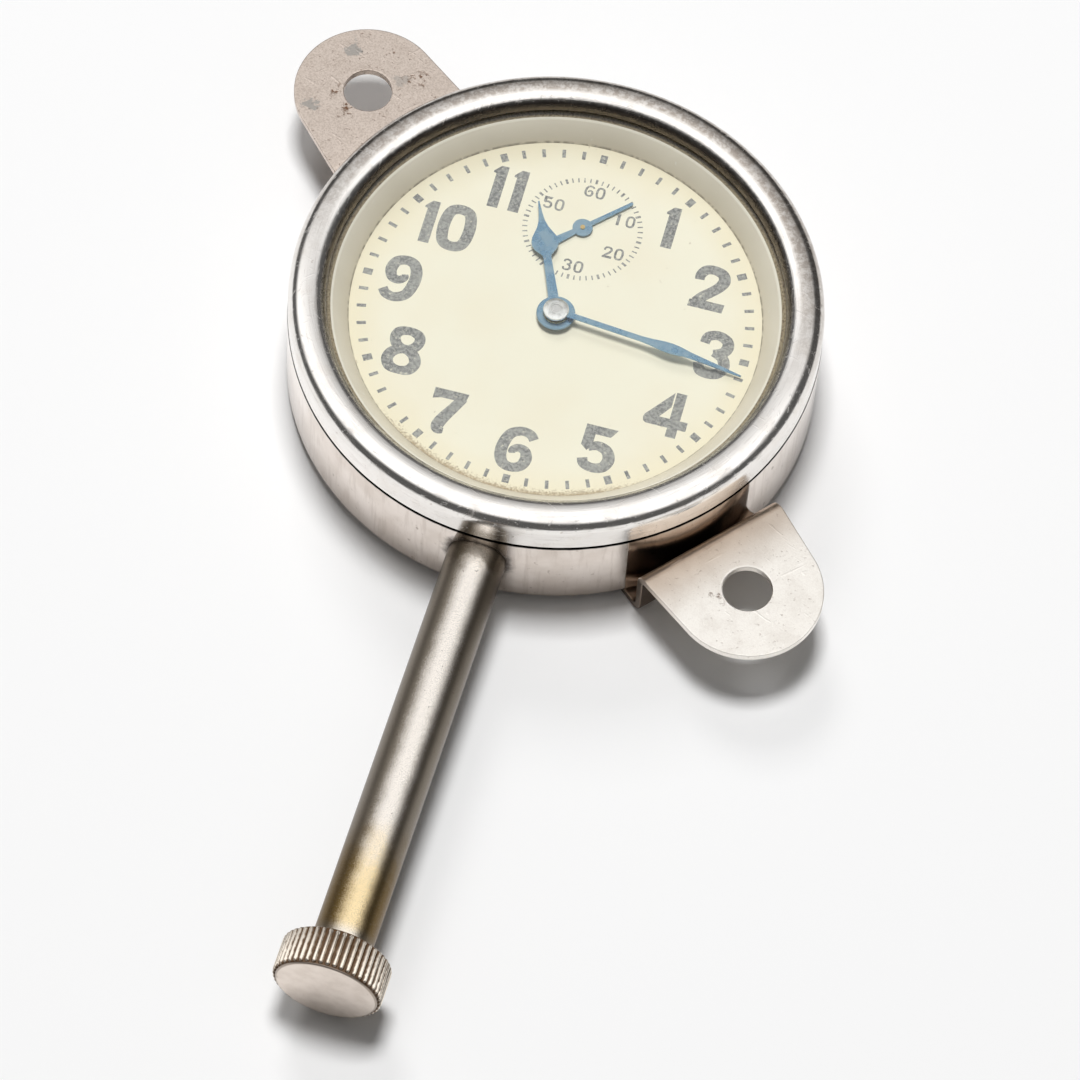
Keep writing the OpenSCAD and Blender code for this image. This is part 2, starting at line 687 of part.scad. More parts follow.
// Screws through the back plate into the pillars
module pillar_screws() {
  color([0.45, 0.45, 0.48]) for (p = pillars)
    at(p, 0) difference() {
      union() {
        translate([0, 0, back_z0 - 0.6]) cylinder(r = 1.9, h = 0.6);
        translate([0, 0, back_z0 - 0.1]) cylinder(r = 0.9, h = back_z1 - back_z0 - 0.5 + 0.1);
      }
      translate([-2, -0.2, back_z0 - 1.3]) cube([4, 0.4, 1]);
    }
}

// Bearing block for the stem under the main plate
module stem_block() {
  y0 = wp_y + 1.0;
  color([0.74, 0.60, 0.30]) difference() {
    translate([-2.6, y0, stem_z - 1.5]) cube([5.2, 2.4, main_z0 - stem_z + 1.5]);
    stem_bar(1.0 + run, 15, 30);
  }
}

// Mainspring barrel with the great wheel teeth
module barrel() {
  color([0.78, 0.62, 0.28]) at(p_bar, 0) difference() {
    union() {
      translate([0, 0, great_z]) gear(bw_n, bw_m, 0.8, ph_bw);
      translate([0, 0, barrel_z0 + 0.4]) cylinder(r = barrel_r, h = great_z - barrel_z0);
    }
    translate([0, 0, barrel_z0]) cylinder(r = barrel_in, h = great_z - barrel_z0 + 0.2);
    translate([0, 0, barrel_z0 - 1]) cylinder(r = 1.5 + run, h = 8);
  }
}

// Snap-in barrel cover
module barrel_cover() {
  color([0.80, 0.66, 0.34]) at(p_bar, barrel_z0) difference() {
    union() {
      disc(barrel_r, 0.4);
      translate([0, 0, 0.4 - e]) ring(barrel_in - e, barrel_in - 0.6, 0.3);
    }
    translate([0, 0, -1]) cylinder(r = 1.8 + run, h = 3);
  }
}

// Arbor inside the barrel with the square for the ratchet wheel
module barrel_arbor() {
  color([0.58, 0.58, 0.60]) at(p_bar, 0) union() {
    translate([0, 0, barrel_z0 - 0.3]) cylinder(r = 1.5, h = main_z1 - barrel_z0 + 0.2);
    translate([0, 0, barrel_z0 + 0.5]) cylinder(r = 2.6, h = great_z - barrel_z0 - 0.7);
    translate([0, 0, back_z0 - 0.1]) cylinder(r = 1.8, h = barrel_z0 - back_z0 + 0.3);
    translate([-1.2, -1.2, ratchet_z0]) cube([2.4, 2.4, back_z0 - ratchet_z0]);
  }
}

// Flat spiral strip from radius ra to rb
function spiral_side(ra, rb, turns, off) = let (n = turns * 30)
  [for (i = [0 : n]) polar(ra + (rb - ra) * i / n + off, 360 * turns * i / n)];
module spiral(ra, rb, turns, w, h) {
  p = spiral_side(ra, rb, turns, w / 2);
  q = spiral_side(ra, rb, turns, -w / 2);
  linear_extrude(height = h) polygon(concat(p, [for (i = [len(q) - 1 : -1 : 0]) q[i]]));
}

// Wound mainspring
module mainspring() {
  color([0.40, 0.44, 0.55]) at(p_bar, barrel_z0 + 0.85)
    spiral(3.0, barrel_in - 0.9, 9, 0.3, great_z - barrel_z0 - 1.3);
}

// Intermediate wheel between barrel and centre pinion
module intermediate_wheel() {
  color([0.80, 0.64, 0.30]) at(p_i, 0) union() {
    translate([0, 0, iw_z]) crossed(iw_n, iw_m, wheel_t, ph_iw, 2.4, 7.7);
    translate([0, 0, great_z - 0.2]) gear(ip_n, bw_m, 1.1, ph_ip);
    translate([0, 0, back_z1 + 0.1]) cylinder(r = 0.6, h = great_z + 0.9 - back_z1 - 0.1);
    translate([0, 0, back_z0 + 0.1]) cylinder(r = pivot_r, h = main_z1 - back_z0 - 0.2);
  }
}

// Centre wheel, pinion and the long arbor that carries the cannon pinion
module center_wheel() {
  color([0.80, 0.64, 0.30]) union() {
    translate([0, 0, cw_z]) crossed(cw_n, cw_m, wheel_t, ph_cw, 2.6, 8.2);
    translate([0, 0, cw_z + wheel_t + 0.1]) gear(cp_n, iw_m, 1.0, ph_cp);
    translate([0, 0, back_z1 + 0.1]) cylinder(r = 1.0, h = main_z1 - back_z1 - 0.1);
    translate([0, 0, back_z0 + 0.1]) cylinder(r = 0.7, h = dial_z + 2.2 - back_z0);
  }
}

// Third wheel and pinion
module third_wheel() {
  color([0.80, 0.64, 0.30]) at(p_t, 0) union() {
    translate([0, 0, tw_z]) crossed(tw_n, tw_m, 0.4, ph_tw, 2.0, 6.4);
    translate([0, 0, cw_z - 0.1]) gear(tp_n, cw_m, 0.8, ph_tp);
    translate([0, 0, back_z1 + 0.1]) cylinder(r = 0.6, h = main_z0 - back_z1 - 0.2);
    translate([0, 0, back_z0 + 0.1]) cylinder(r = pivot_r, h = main_z1 - back_z0 - 0.2);
  }
}

// Fourth wheel and pinion, whose arbor carries the seconds hand
module fourth_wheel() {
  color([0.80, 0.64, 0.30]) at(p_f, 0) union() {
    translate([0, 0, fw_z]) crossed(fw_n, fw_m, 0.25, ph_fw, 1.6, 6.1);
    translate([0, 0, tw_z - 0.25]) gear(fp_n, tw_m, 0.9, ph_fp);
    translate([0, 0, back_z1 + 0.1]) cylinder(r = 0.55, h = main_z0 - back_z1 - 0.2);
    translate([0, 0, back_z0 + 0.1]) cylinder(r = 0.35, h = dial_z + 0.55 - back_z0);
  }
}

// Escape wheel with fifteen pointed teeth
module escape_wheel() {
  color([0.66, 0.66, 0.68]) at(p_e, 0) union() {
    translate([0, 0, ew_z]) difference() {
      linear_extrude(height = 0.3) polygon([for (i = [0 : 14])
        for (k = [[2.6, 0], [esc_r - 0.25, 3], [esc_r, 7], [esc_r - 0.1, 9.5], [2.6, 12]])
          polar(k[0], i * 24 + k[1])]);
      for (i = [0 : 3])
        rotate([0, 0, i * 90 + 45]) translate([1.55, 0, -1]) cylinder(r = 0.55, h = 3);
    }
    translate([0, 0, fw_z - 0.3]) gear(ep_n, fw_m, 0.9, ph_ep);
    translate([0, 0, back_z1 + 0.1]) cylinder(r = 0.45, h = main_z0 - back_z1 - 0.2);
    translate([0, 0, back_z0 + 0.1]) cylinder(r = 0.3, h = main_z1 - back_z0 - 0.2);
  }
}

// Pallet lever, drawn from the escape side to the fork
module pallet_fork() {
  a0 = dir(p_p, p_e);
  a1 = dir(p_p, p_b);
  color([0.66, 0.66, 0.68]) at(p_p, 0) union() {
    translate([0, 0, ew_z + 0.42]) difference() {
      union() {
        disc(0.9, 0.4);
        for (s = [-1, 1])
          rotate([0, 0, a0 + s * 75]) translate([0, -0.35, 0]) cube([2.35, 0.7, 0.4]);
        rotate([0, 0, a1]) translate([0, -0.3, 0]) cube([4.1, 0.6, 0.4]);
        rotate([0, 0, a1]) translate([3.6, -0.9, 0]) cube([1.1, 1.8, 0.4]);
      }
      rotate([0, 0, a1]) translate([4.1, -0.3, -1]) cube([1.2, 0.6, 3]);
    }
    translate([0, 0, ew_z - 1.0]) cylinder(r = 0.4, h = main_z0 - ew_z + 0.9);
    translate([0, 0, ew_z - 1.7]) cylinder(r = 0.25, h = main_z1 - ew_z + 1.6);
  }
}

// Pallet stones, held just clear of the escape teeth
module pallet_stones() {
  a0 = dir(p_e, p_p);
  color([0.75, 0.15, 0.25]) for (s = [-1, 1])
    at(p_e, ew_z) rotate([0, 0, a0 + s * 30])
      translate([esc_r + 0.28, -0.22, 0]) cube([0.55, 0.44, 0.42]);
}

// Cock that carries the rear pallet pivot
module pallet_cock() {
  a = pallet_cock_dir;
  z0 = ew_z - 1.75;
  color([0.74, 0.60, 0.30]) difference() {
    union() {
      at(p_p, z0) disc(1.3, 0.6);
      at(p_p, z0) rotate([0, 0, a]) translate([0, -1.1, 0]) cube([pallet_cock_len, 2.2, 0.6]);
      at(pallet_foot, z0) disc(pallet_foot_r, main_z0 - z0);
    }
    at(p_p, z0 - 1) disc(0.25 + run, 3);
  }
}

// Balance rim with two arms
module balance_wheel() {
  color([0.80, 0.66, 0.34]) at(p_b, bal_z) union() {
    ring(balance_r, balance_r - 0.8, 1.0);
    difference() {
      union() {
        translate([-balance_r + 0.4, -0.5, 0.35]) cube([balance_r * 2 - 0.8, 1, 0.3]);
        translate([0, 0, 0.35]) cylinder(r = 1.1, h = 0.3);
      }
      translate([0, 0, -1]) cylinder(r = 0.61, h = 3);
    }
  }
}

// Timing screws round the balance rim
module balance_screws() {
  color([0.72, 0.58, 0.26]) at(p_b, bal_z + 0.5) for (i = [0 : 11])
    rotate([0, 0, 15 + i * 30]) rotate([0, 90, 0]) translate([0, 0, balance_r])
      cylinder(r = 0.38, h = 0.55);
}

// Balance staff with roller and impulse pin
module balance_staff() {
  color([0.60, 0.60, 0.62]) at(p_b, 0) union() {
    translate([0, 0, back_z0 - 0.15]) cylinder(r = 0.6, h = main_z0 - back_z0 - 0.05);
    translate([0, 0, back_z0 - 0.75]) cylinder(r = 0.25, h = main_z1 - back_z0 + 0.6);
    translate([0, 0, ew_z + 0.5]) cylinder(r = 1.2, h = 0.35);
    rotate([0, 0, dir(p_b, p_p)]) translate([0.85, 0, ew_z + 0.1]) cylinder(r = 0.15, h = 0.5);
  }
}

// Flat hairspring round the balance staff
module hairspring() {
  color([0.30, 0.35, 0.55]) at(p_b, back_z0 + 0.05) spiral(0.95, 4.2, 9, 0.08, 0.35);
}

// Stud that holds the outer end of the hairspring
module hairspring_stud() {
  color([0.62, 0.62, 0.64]) at(p_b, back_z0 - 0.25) translate([4.56, 0, 0]) cylinder(r = 0.3, h = 0.75);
}

// Cock over the balance
module balance_cock() {
  color([0.76, 0.62, 0.32]) difference() {
    union() {
      at(p_b, back_z0 - 0.9) disc(2.6, 0.65);
      at(p_b, back_z0 - 0.9) rotate([0, 0, cock_dir]) translate([0, -1.8, 0]) cube([9, 3.6, 0.65]);
      at(p_b, back_z0 - 0.9) translate([0, -0.7, 0]) cube([5.1, 1.4, 0.65]);
      intersection() {
        at(p_b, back_z0 - 0.9) rotate([0, 0, cock_dir]) ring(12.6, balance_r + 1.5, 0.9);
        at(p_b, back_z0 - 1) rotate([0, 0, cock_dir]) translate([0, -4.6, 0]) cube([14, 9.2, 2]);
      }
    }
    at(p_b, back_z0 - 2) disc(0.8, 4);
    for (p = cock_feet) {
      at(p, back_z0 - 2) disc(0.71, 4);
      at(p, back_z0 - 2) disc(1.3, 1.5);
    }
    at(p_b, back_z0 - 2) translate([4.56, 0, 0]) cylinder(r = 0.31, h = 4);
  }
}

// Screws of the balance cock
module balance_cock_screws() {
  color([0.45, 0.45, 0.48]) for (p = cock_feet)
    at(p, 0) union() {
      translate([0, 0, back_z0 - 0.85]) cylinder(r = 1.2, h = 0.35);
      translate([0, 0, back_z0 - 0.55]) cylinder(r = 0.7, h = 1.4);
    }
}

// Regulator index turning on the cock
module regulator() {
  color([0.66, 0.66, 0.68]) at(p_b, back_z0 - 1.13) difference() {
    union() {
      disc(2.2, 0.2);
      rotate([0, 0, cock_dir + 180]) translate([0, -0.3, 0]) cube([5.4, 0.6, 0.2]);
    }
    translate([0, 0, -1]) cylinder(r = 1.45, h = 3);
  }
}

// Jewel rings in the plates and the balance cock
module jewels() {
  color([0.75, 0.12, 0.25]) {
    for (k = [[p_i, pivot_r], [p_t, pivot_r], [p_f, 0.35], [p_e, 0.3], [p_c, 0.7]])
      at(k[0], back_z0 + 0.2) ring(1.19, k[1] + run, 0.9);
    for (k = [[p_i, pivot_r], [p_t, pivot_r], [p_f, 0.35], [p_e, 0.3], [p_p, 0.25], [p_b, 0.25]])
      at(k[0], main_z0 + 0.1) ring(1.19, k[1] + run, 1.2);
    at(p_b, back_z0 - 0.85) ring(0.79, 0.25 + run, 0.55);
  }
}

// Ratchet wheel on the barrel arbor
module ratchet_wheel() {
  color([0.68, 0.68, 0.66]) at(p_bar, ratchet_z0) difference() {
    gear(rat_n, rat_m, 0.7, ph_rat);
    translate([-1.21, -1.21, -1]) cube([2.42, 2.42, 3]);
  }
}

// Flat screw that keeps the ratchet wheel on its square
module ratchet_screw() {
  color([0.45, 0.45, 0.48]) at(p_bar, 0) difference() {
    translate([0, 0, ratchet_z0 - 0.3]) cylinder(r = 2.6, h = 0.3);
    translate([-3, -0.25, ratchet_z0 - 1.15]) cube([6, 0.5, 1]);
  }
}

// Crown wheel: face teeth driven by the winding pinion, on a short arbor
module crown_wheel() {
  z_tip = stem_z - wp_n * wp_m / 2 + 0.12;
  z_web = stem_z - wp_n * wp_m / 2 - 0.75 * wp_m - 0.15;
  r = wp_m * cr_n / 2;
  color([0.68, 0.68, 0.66]) at(p_cr, 0) union() {
    face_teeth(cr_n, wp_m, z_web - 0.1, z_tip, -90 + 180 / cr_n);
    translate([0, 0, z_web - 0.5]) cylinder(r = r + 0.36, h = 0.5);
    translate([0, 0, back_z1 + 0.1]) cylinder(r = 2.2, h = z_web - back_z1 - 0.4);
    translate([0, 0, back_z0 - 0.1]) cylinder(r = 1.5, h = 2);
    translate([-1, -1, ratchet_z0]) cube([2, 2, back_z0 - ratchet_z0]);
  }
}

// Transfer wheel on the crown arbor that turns the ratchet wheel
module transfer_wheel() {
  color([0.68, 0.68, 0.66]) at(p_cr, ratchet_z0) difference() {
    gear(tr_n, rat_m, 0.7, ph_tr);
    translate([-1.01, -1.01, -1]) cube([2.02, 2.02, 3]);
  }
}

// Click beside the ratchet wheel, drawn just clear of the teeth
module click() {
  a = dir(click_p, p_bar);
  tip = dist(click_p, p_bar) - (rat_n * rat_m / 2 + 0.75 * rat_m) - 0.12;
  color([0.66, 0.66, 0.68]) at(click_p, ratchet_z0 + 0.05) difference() {
    union() {
      disc(1.7, 0.6);
      rotate([0, 0, a]) linear_extrude(height = 0.6)
        polygon([[0, -1.5], [tip, -0.2], [tip, 0.4], [0.4, 1.6]]);
      rotate([0, 0, a + 130]) translate([0, -0.5, 0]) cube([3.2, 1, 0.6]);
    }
    translate([0, 0, -1]) cylinder(r = 0.7 + run, h = 3);
  }
}

// Shoulder screw of the click
module click_screw() {
  color([0.45, 0.45, 0.48]) at(click_p, 0) difference() {
    union() {
      translate([0, 0, ratchet_z0 - 0.25]) cylinder(r = 1.4, h = 0.25);
      translate([0, 0, ratchet_z0 - 0.1]) cylinder(r = 0.7, h = back_z0 - ratchet_z0 + 0.9);
    }
    translate([-2, -0.2, ratchet_z0 - 1.13]) cube([4, 0.4, 1]);
  }
}

// Leaf spring behind the click
module click_spring() {
  a = dir(spring_foot, click_p);
  color([0.40, 0.44, 0.55]) at(spring_foot, 0) union() {
    translate([0, 0, ratchet_z0 + 0.1]) cylinder(r = 1.1, h = back_z0 - ratchet_z0 - 0.1);
    translate([0, 0, ratchet_z0 + 0.1]) cylinder(r = 0.6, h = back_z0 - ratchet_z0 + 0.9);
    rotate([0, 0, a - 24]) translate([0.6, -0.12, ratchet_z0 + 0.1]) cube([3.8, 0.24, 0.5]);
  }
}

// Winding pinion, loose on the stem, with face dogs
module winding_pinion() {
  color([0.62, 0.62, 0.62]) difference() {
    union() {
      translate([0, wp_y + 0.6, stem_z]) rotate([90, 0, 0]) gear(wp_n, wp_m, 1.2, -90);
      translate([0, wp_y + 0.8, stem_z]) rotate([90, 0, 0]) cylinder(r = 1.45, h = 2.0);
      for (i = [0 : 3])
        translate([0, wp_y - 1.1, stem_z]) rotate([0, i * 90, 0])
          translate([1.08, -0.6, -0.28]) cube([0.62, 0.7, 0.56]);
    }
    stem_bar(1.0 + run, 15, 30);
  }
}

// Sliding clutch with the yoke groove
module clutch() {
  y1 = wp_y - 1.95;
  color([0.62, 0.62, 0.62]) difference() {
    union() {
      stem_bar(1.45, -y1, -y1 + 2.4);
      stem_bar(2.2, -y1, -y1 + 0.7);
      stem_bar(2.2, -y1 + 1.7, -y1 + 2.4);
      for (i = [0 : 3])
        translate([0, y1, stem_z]) rotate([0, 45 + i * 90, 0])
          translate([1.08, -0.1, -0.28]) cube([0.62, 0.7, 0.56]);
    }
    stem_bar(1.0 + e, 15, 31.8);
  }
}

// Yoke plate that moves with the stem, straddling the clutch groove
module setting_yoke() {
  yc = wp_y - 1.95 - 1.2;
  color([0.66, 0.66, 0.68]) difference() {
    translate([-2.5, yc - 0.4, stem_z - 2.6]) cube([5, 0.8, main_z0 - stem_z + 2.5]);
    stem_bar(1.45 + 0.06, 15, 32);
  }
}

case_body();
bezel();
crystal();
reflector_ring();
mounting_strap();
strap_rivets();
stem_tube();
tube_locknut();
tube_bushes();
winding_rod();
winding_knob();
dial();
dial_foot_screws();
hour_hand();
minute_hand();
hand_collet();
seconds_hand();
hour_wheel();
minute_wheel();
cannon_pinion();
setting_wheel();
setting_pinion();
movement_ring();
case_screws();
main_plate();
back_plate();
plate_pillars();
pillar_screws();
stem_block();
barrel();
barrel_cover();
barrel_arbor();
mainspring();
intermediate_wheel();
center_wheel();
third_wheel();
fourth_wheel();
escape_wheel();
pallet_fork();
pallet_stones();
pallet_cock();
balance_wheel();
balance_screws();
balance_staff();
hairspring();
hairspring_stud();
balance_cock();
balance_cock_screws();
regulator();
jewels();
ratchet_wheel();
ratchet_screw();
crown_wheel();
transfer_wheel();
click();
click_screw();
click_spring();
winding_pinion();
clutch();
setting_yoke();
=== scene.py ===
import json
import math

import bmesh
import bpy
from mathutils import Matrix, Vector


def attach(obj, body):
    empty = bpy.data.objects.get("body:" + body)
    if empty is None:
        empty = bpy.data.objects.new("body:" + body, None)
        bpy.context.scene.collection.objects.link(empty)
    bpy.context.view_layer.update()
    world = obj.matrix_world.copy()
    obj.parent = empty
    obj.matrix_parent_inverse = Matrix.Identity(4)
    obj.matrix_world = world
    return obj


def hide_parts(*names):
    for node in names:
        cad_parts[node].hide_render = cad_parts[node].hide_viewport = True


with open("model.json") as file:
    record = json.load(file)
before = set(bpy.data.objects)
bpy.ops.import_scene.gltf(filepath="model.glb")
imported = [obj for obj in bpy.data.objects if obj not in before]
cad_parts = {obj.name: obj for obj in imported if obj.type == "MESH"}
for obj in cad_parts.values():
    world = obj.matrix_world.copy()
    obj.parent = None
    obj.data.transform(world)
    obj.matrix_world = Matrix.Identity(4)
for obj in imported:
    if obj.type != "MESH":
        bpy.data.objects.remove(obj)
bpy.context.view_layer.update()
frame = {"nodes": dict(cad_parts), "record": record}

MM = 0.001
NODES = frame["nodes"]
scene = bpy.context.scene

# Sizes of the clock, in millimetres and degrees
DIAL_Z = 14.6
DIAL_TURN = 1.9
SECONDS_AT = (-0.514, 15.491)
SHOWN_HOUR, SHOWN_MINUTE, SHOWN_SECOND = 11, 15.9, 7.5
HOUR_Z, MINUTE_Z, SECOND_Z = 15.5, 16.25, 14.91
BEAD, BEAD_R = (35.7, 18.645), 2.75
SKIRT_R, SKIRT_Z = 38.45, 15.55
GLASS_R, GLASS_Z, GLASS_TOP = 33.9, 17.5, 18.8
STEM_Z = 9.5
TUBE_R, TUBE_BORE = 4.3, 3.2
TUBE_START, TUBE_END = -34.1, -103.6
KNOB_AT, KNOB_T = -103.9, 6.1
RIM_AT = KNOB_AT - 0.3
RIDGES = 48
SHEET, BEND, LEG = 1.2, 1.0, 39.2
STRAP_HALF = 11.7
EAR_ANGLE = -40.0
EAR_TOP, EAR_R = 10.2, 10.885
EAR_HOLE_AT, EAR_HOLE_R = 49.6, 3.55
RIVET_AT, RIVET_HOLE_R = 20, 1.3
PRINT_T, PRINT_SINK = 0.012, 0.004

# Distances within which vertices are one (metres) or lie on a line (millimetres)
MERGE = 2e-7
CLOSE = 1e-3

# Rust and stains on the ears: place and radius
RUST_AT = [(-40.2, 27.9, 2.6), (-42.2, 30.6, 2.0), (-31.8, 36.0, 2.6), (-36.6, 39.5, 1.2),
           (34.4, -34.4, 1.4)]
STAINS_AT = [(-42.2, 38.2, 1.5), (-45.2, 26.9, 1.3)]
FAINT_STAIN_AT = (-34.0, 34.9, 1.2)


# ---- camera, floor and light ----

def set_camera():
    """Camera at the photograph's angle, fitted to the dial marks and the case outline."""
    right = Vector((0.9667, 0.2529, 0.0402))
    down = Vector((0.2391, -0.8349, -0.4958))
    ahead = Vector((-0.0918, 0.4889, -0.8675))
    shift = Vector((2.187, -31.77, 1007.5))
    turn = Matrix.Rotation(math.radians(DIAL_TURN), 3, "Z")
    place = -(right * shift.x + down * shift.y + ahead * shift.z)
    place = turn @ place + Vector((0, 0, DIAL_Z))
    right, down, ahead = (turn @ v for v in (right, down, ahead))
    data = bpy.data.cameras.new("photo_camera")
    data.sensor_width = 36.0
    data.lens = 233.78
    data.clip_start = 0.01
    data.clip_end = 20.0
    camera = bpy.data.objects.new("photo_camera", data)
    scene.collection.objects.link(camera)
    basis = Matrix((right, -down, -ahead)).transposed()
    camera.matrix_world = Matrix.Translation(place * MM) @ basis.to_4x4()
    scene.camera = camera


def add_lamp(name, direction, distance, size, power):
    """Square soft box at an azimuth and elevation; metal and glass see the sky in its place."""
    az, el = (math.radians(v) for v in direction)
    toward = Vector((math.cos(el) * math.cos(az), math.cos(el) * math.sin(az), math.sin(el)))
    data = bpy.data.lights.new(name, "AREA")
    data.shape = "SQUARE"
    data.size = size
    data.energy = power
    lamp = bpy.data.objects.new(name, data)
    scene.collection.objects.link(lamp)
    lamp.visible_glossy = False
    lamp.visible_transmission = False
    lamp.location = toward * distance
    lamp.rotation_euler = toward.to_track_quat("Z", "Y").to_euler()


def set_world(horizon, sky, fill):
    """Soft sky that starts higher in front and at the back right, and is dimmer behind the clock.

    Metal and glass see the whole sky; fill is the share of it that lights matt surfaces.
    """
    world = bpy.data.worlds.new("studio_sky")
    world.use_nodes = True
    scene.world = world
    tree = world.node_tree
    tree.nodes.clear()
    x, y, z = xyz(tree.nodes.new("ShaderNodeTexCoord").outputs["Generated"])
    right = times(join("MAXIMUM", x, 0.0), ramp(y, -0.35, 0.45))
    height = join("SUBTRACT", z, times(right, 0.33))
    height = plus(height, times(join("MINIMUM", y, 0.0), 0.40))
    behind = ramp(y, 0.1, 0.95)
    bright = times(ramp(height, 0.20, 0.50), level_between(behind, 1.0, 0.35))
    path = tree.nodes.new("ShaderNodeLightPath").outputs
    seen = plus(path["Is Camera Ray"], path["Is Glossy Ray"], path["Is Transmission Ray"])
    seen.node.use_clamp = True
    level = times(level_between(bright, horizon, sky), level_between(seen, fill, 1.0))
    back = tree.nodes.new("ShaderNodeBackground")
    back.inputs["Color"].default_value = (1, 1, 1, 1)
    tree.links.new(level, back.inputs["Strength"])
    out = tree.nodes.new("ShaderNodeOutputWorld")
    tree.links.new(back.outputs["Background"], out.inputs["Surface"])


def add_floor(colour, far_colour):
    """White table; past the picture's edge it falls off to dark for all but the camera."""
    only()
    bpy.ops.mesh.primitive_plane_add(size=6.0, location=(0, 0, -0.00002))
    floor = bpy.context.object
    floor.name = "table"
    paint, tree, shader = start("table_paint", Roughness=0.9, Specular_IOR_Level=0.1)
    x, y, z = xyz(place_mm(tree))
    far = ramp(distance_from(x, y, 0.0, -30.0), 130.0, 240.0)
    path = tree.nodes.new("ShaderNodeLightPath").outputs
    unseen = join("SUBTRACT", 1.0, path["Is Camera Ray"])
    feed(shader, Base_Color=blend(times(far, unseen), colour, far_colour))
    floor.data.materials.append(paint)


# ---- small node helpers: they find the node tree from the sockets that they are given ----

def put_in(sockets, values):
    """Sets each value on its socket if it is a number or colour, and links it if it is a socket."""
    for socket, value in zip(sockets, values):
        if isinstance(value, bpy.types.NodeSocket):
            socket.id_data.links.new(value, socket)
        else:
            socket.default_value = value


def feed(node, **values):
    """Puts values into the inputs of a node by their names, with _ for a space."""
    put_in([node.inputs[label.replace("_", " ")] for label in values], values.values())


def join(kind, *values):
    """Math node of one kind on sockets or numbers, returned as its output socket."""
    tree = next(v.id_data for v in values if isinstance(v, bpy.types.NodeSocket))
    node = tree.nodes.new("ShaderNodeMath")
    node.operation = kind
    put_in(node.inputs, values)
    return node.outputs[0]


def chain(kind, values):
    """Values taken together one after another by math nodes of one kind."""
    found = values[0]
    for value in values[1:]:
        found = join(kind, found, value)
    return found


def times(*values):
    """Product of several masks or numbers."""
    return chain("MULTIPLY", values)


def plus(*values):
    """Sum of several masks or numbers."""
    return chain("ADD", values)


def most(*masks):
    """Strongest of several masks."""
    return chain("MAXIMUM", masks)


def ramp(value, low, high):
    """0 below low, 1 above high, smooth between."""
    node = value.id_data.nodes.new("ShaderNodeMapRange")
    node.interpolation_type = "SMOOTHSTEP"
    feed(node, Value=value, From_Min=low, From_Max=high)
    return node.outputs["Result"]


def level_between(mask, a, b):
    """Plain number a where the mask is 0 and b where it is 1."""
    node = mask.id_data.nodes.new("ShaderNodeMapRange")
    feed(node, Value=mask, To_Min=a, To_Max=b)
    return node.outputs["Result"]


def blend(mask, a, b):
    """Colour a where the mask is 0 and b where it is 1; each is a socket or a plain colour."""
    node = mask.id_data.nodes.new("ShaderNodeMix")
    node.data_type = "RGBA"
    a, b = ((*c, 1) if isinstance(c, tuple) else c for c in (a, b))
    put_in((node.inputs["Factor"], node.inputs[6], node.inputs[7]), (mask, a, b))
    return node.outputs[2]


def coats(colour, *layers):
    """Colour with others laid over it in turn, each a mask and a colour."""
    for mask, over in layers:
        colour = blend(mask, colour, over)
    return colour


def place_mm(tree, scale=(1, 1, 1)):
    """The piece's own coordinates in millimetres, stretched by scale."""
    coords = tree.nodes.new("ShaderNodeTexCoord")
    mapping = tree.nodes.new("ShaderNodeMapping")
    mapping.inputs["Scale"].default_value = tuple(1000 * s for s in scale)
    tree.links.new(coords.outputs["Object"], mapping.inputs["Vector"])
    return mapping.outputs["Vector"]


def noise(vector, scale, detail=3.0, rough=0.55):
    node = vector.id_data.nodes.new("ShaderNodeTexNoise")
    feed(node, Vector=vector, Scale=scale, Detail=detail, Roughness=rough)
    return node.outputs["Fac"]


def xyz(vector):
    node = vector.id_data.nodes.new("ShaderNodeSeparateXYZ")
    feed(node, Vector=vector)
    return tuple(node.outputs)


def distance_from(a, b, a0=0.0, b0=0.0):
    """Distance of two coordinates from a centre."""
    da = join("SUBTRACT", a, a0)
    db = join("SUBTRACT", b, b0)
    return join("SQRT", plus(times(da, da), times(db, db)))


def blot(x, y, spot, ragged):
    """Ragged round patch at a place; ragged is a noise value about 0.5."""
    radius = spot[2]
    uneven = times(join("SUBTRACT", ragged, 0.5), radius * 4.0)
    return ramp(plus(distance_from(x, y, *spot[:2]), uneven), radius, radius * 0.55)


# ---- shared effects ----

def new_group(name, inputs):
    """Shader node group with named number sockets and one mask; gives its tree, inputs and mask."""
    tree = bpy.data.node_groups.new(name, "ShaderNodeTree")
    for label, value in inputs:
        socket = tree.interface.new_socket(
            name=label, in_out="INPUT", socket_type="NodeSocketFloat")
        socket.default_value = value
    tree.interface.new_socket(name="Mask", in_out="OUTPUT", socket_type="NodeSocketFloat")
    into, out = tree.nodes.new("NodeGroupInput"), tree.nodes.new("NodeGroupOutput")
    return tree, into.outputs, out.inputs["Mask"]


def use_group(tree, group, **values):
    node = tree.nodes.new("ShaderNodeGroup")
    node.node_tree = GROUPS[group]
    feed(node, **values)
    return node.outputs["Mask"]


def make_specks():
    """Ragged specks: pits, rust spots, dirt. Per mm sets their size, Level how few there are."""
    tree, into, out = new_group("specks", [("Per mm", 1.5), ("Level", 0.66), ("Soft", 0.06)])
    value = noise(place_mm(tree), into["Per mm"], 5.0, 0.5)
    mask = join("DIVIDE", join("SUBTRACT", value, into["Level"]), into["Soft"])
    mask.node.use_clamp = True
    tree.links.new(mask, out)
    return tree


def make_clouds():
    """Large soft patches, as of tarnish and handling."""
    tree, into, out = new_group("clouds", [("Per mm", 0.08), ("Low", 0.42), ("High", 0.62)])
    value = noise(place_mm(tree), into["Per mm"], 4.0, 0.5)
    tree.links.new(ramp(value, into["Low"], into["High"]), out)
    return tree


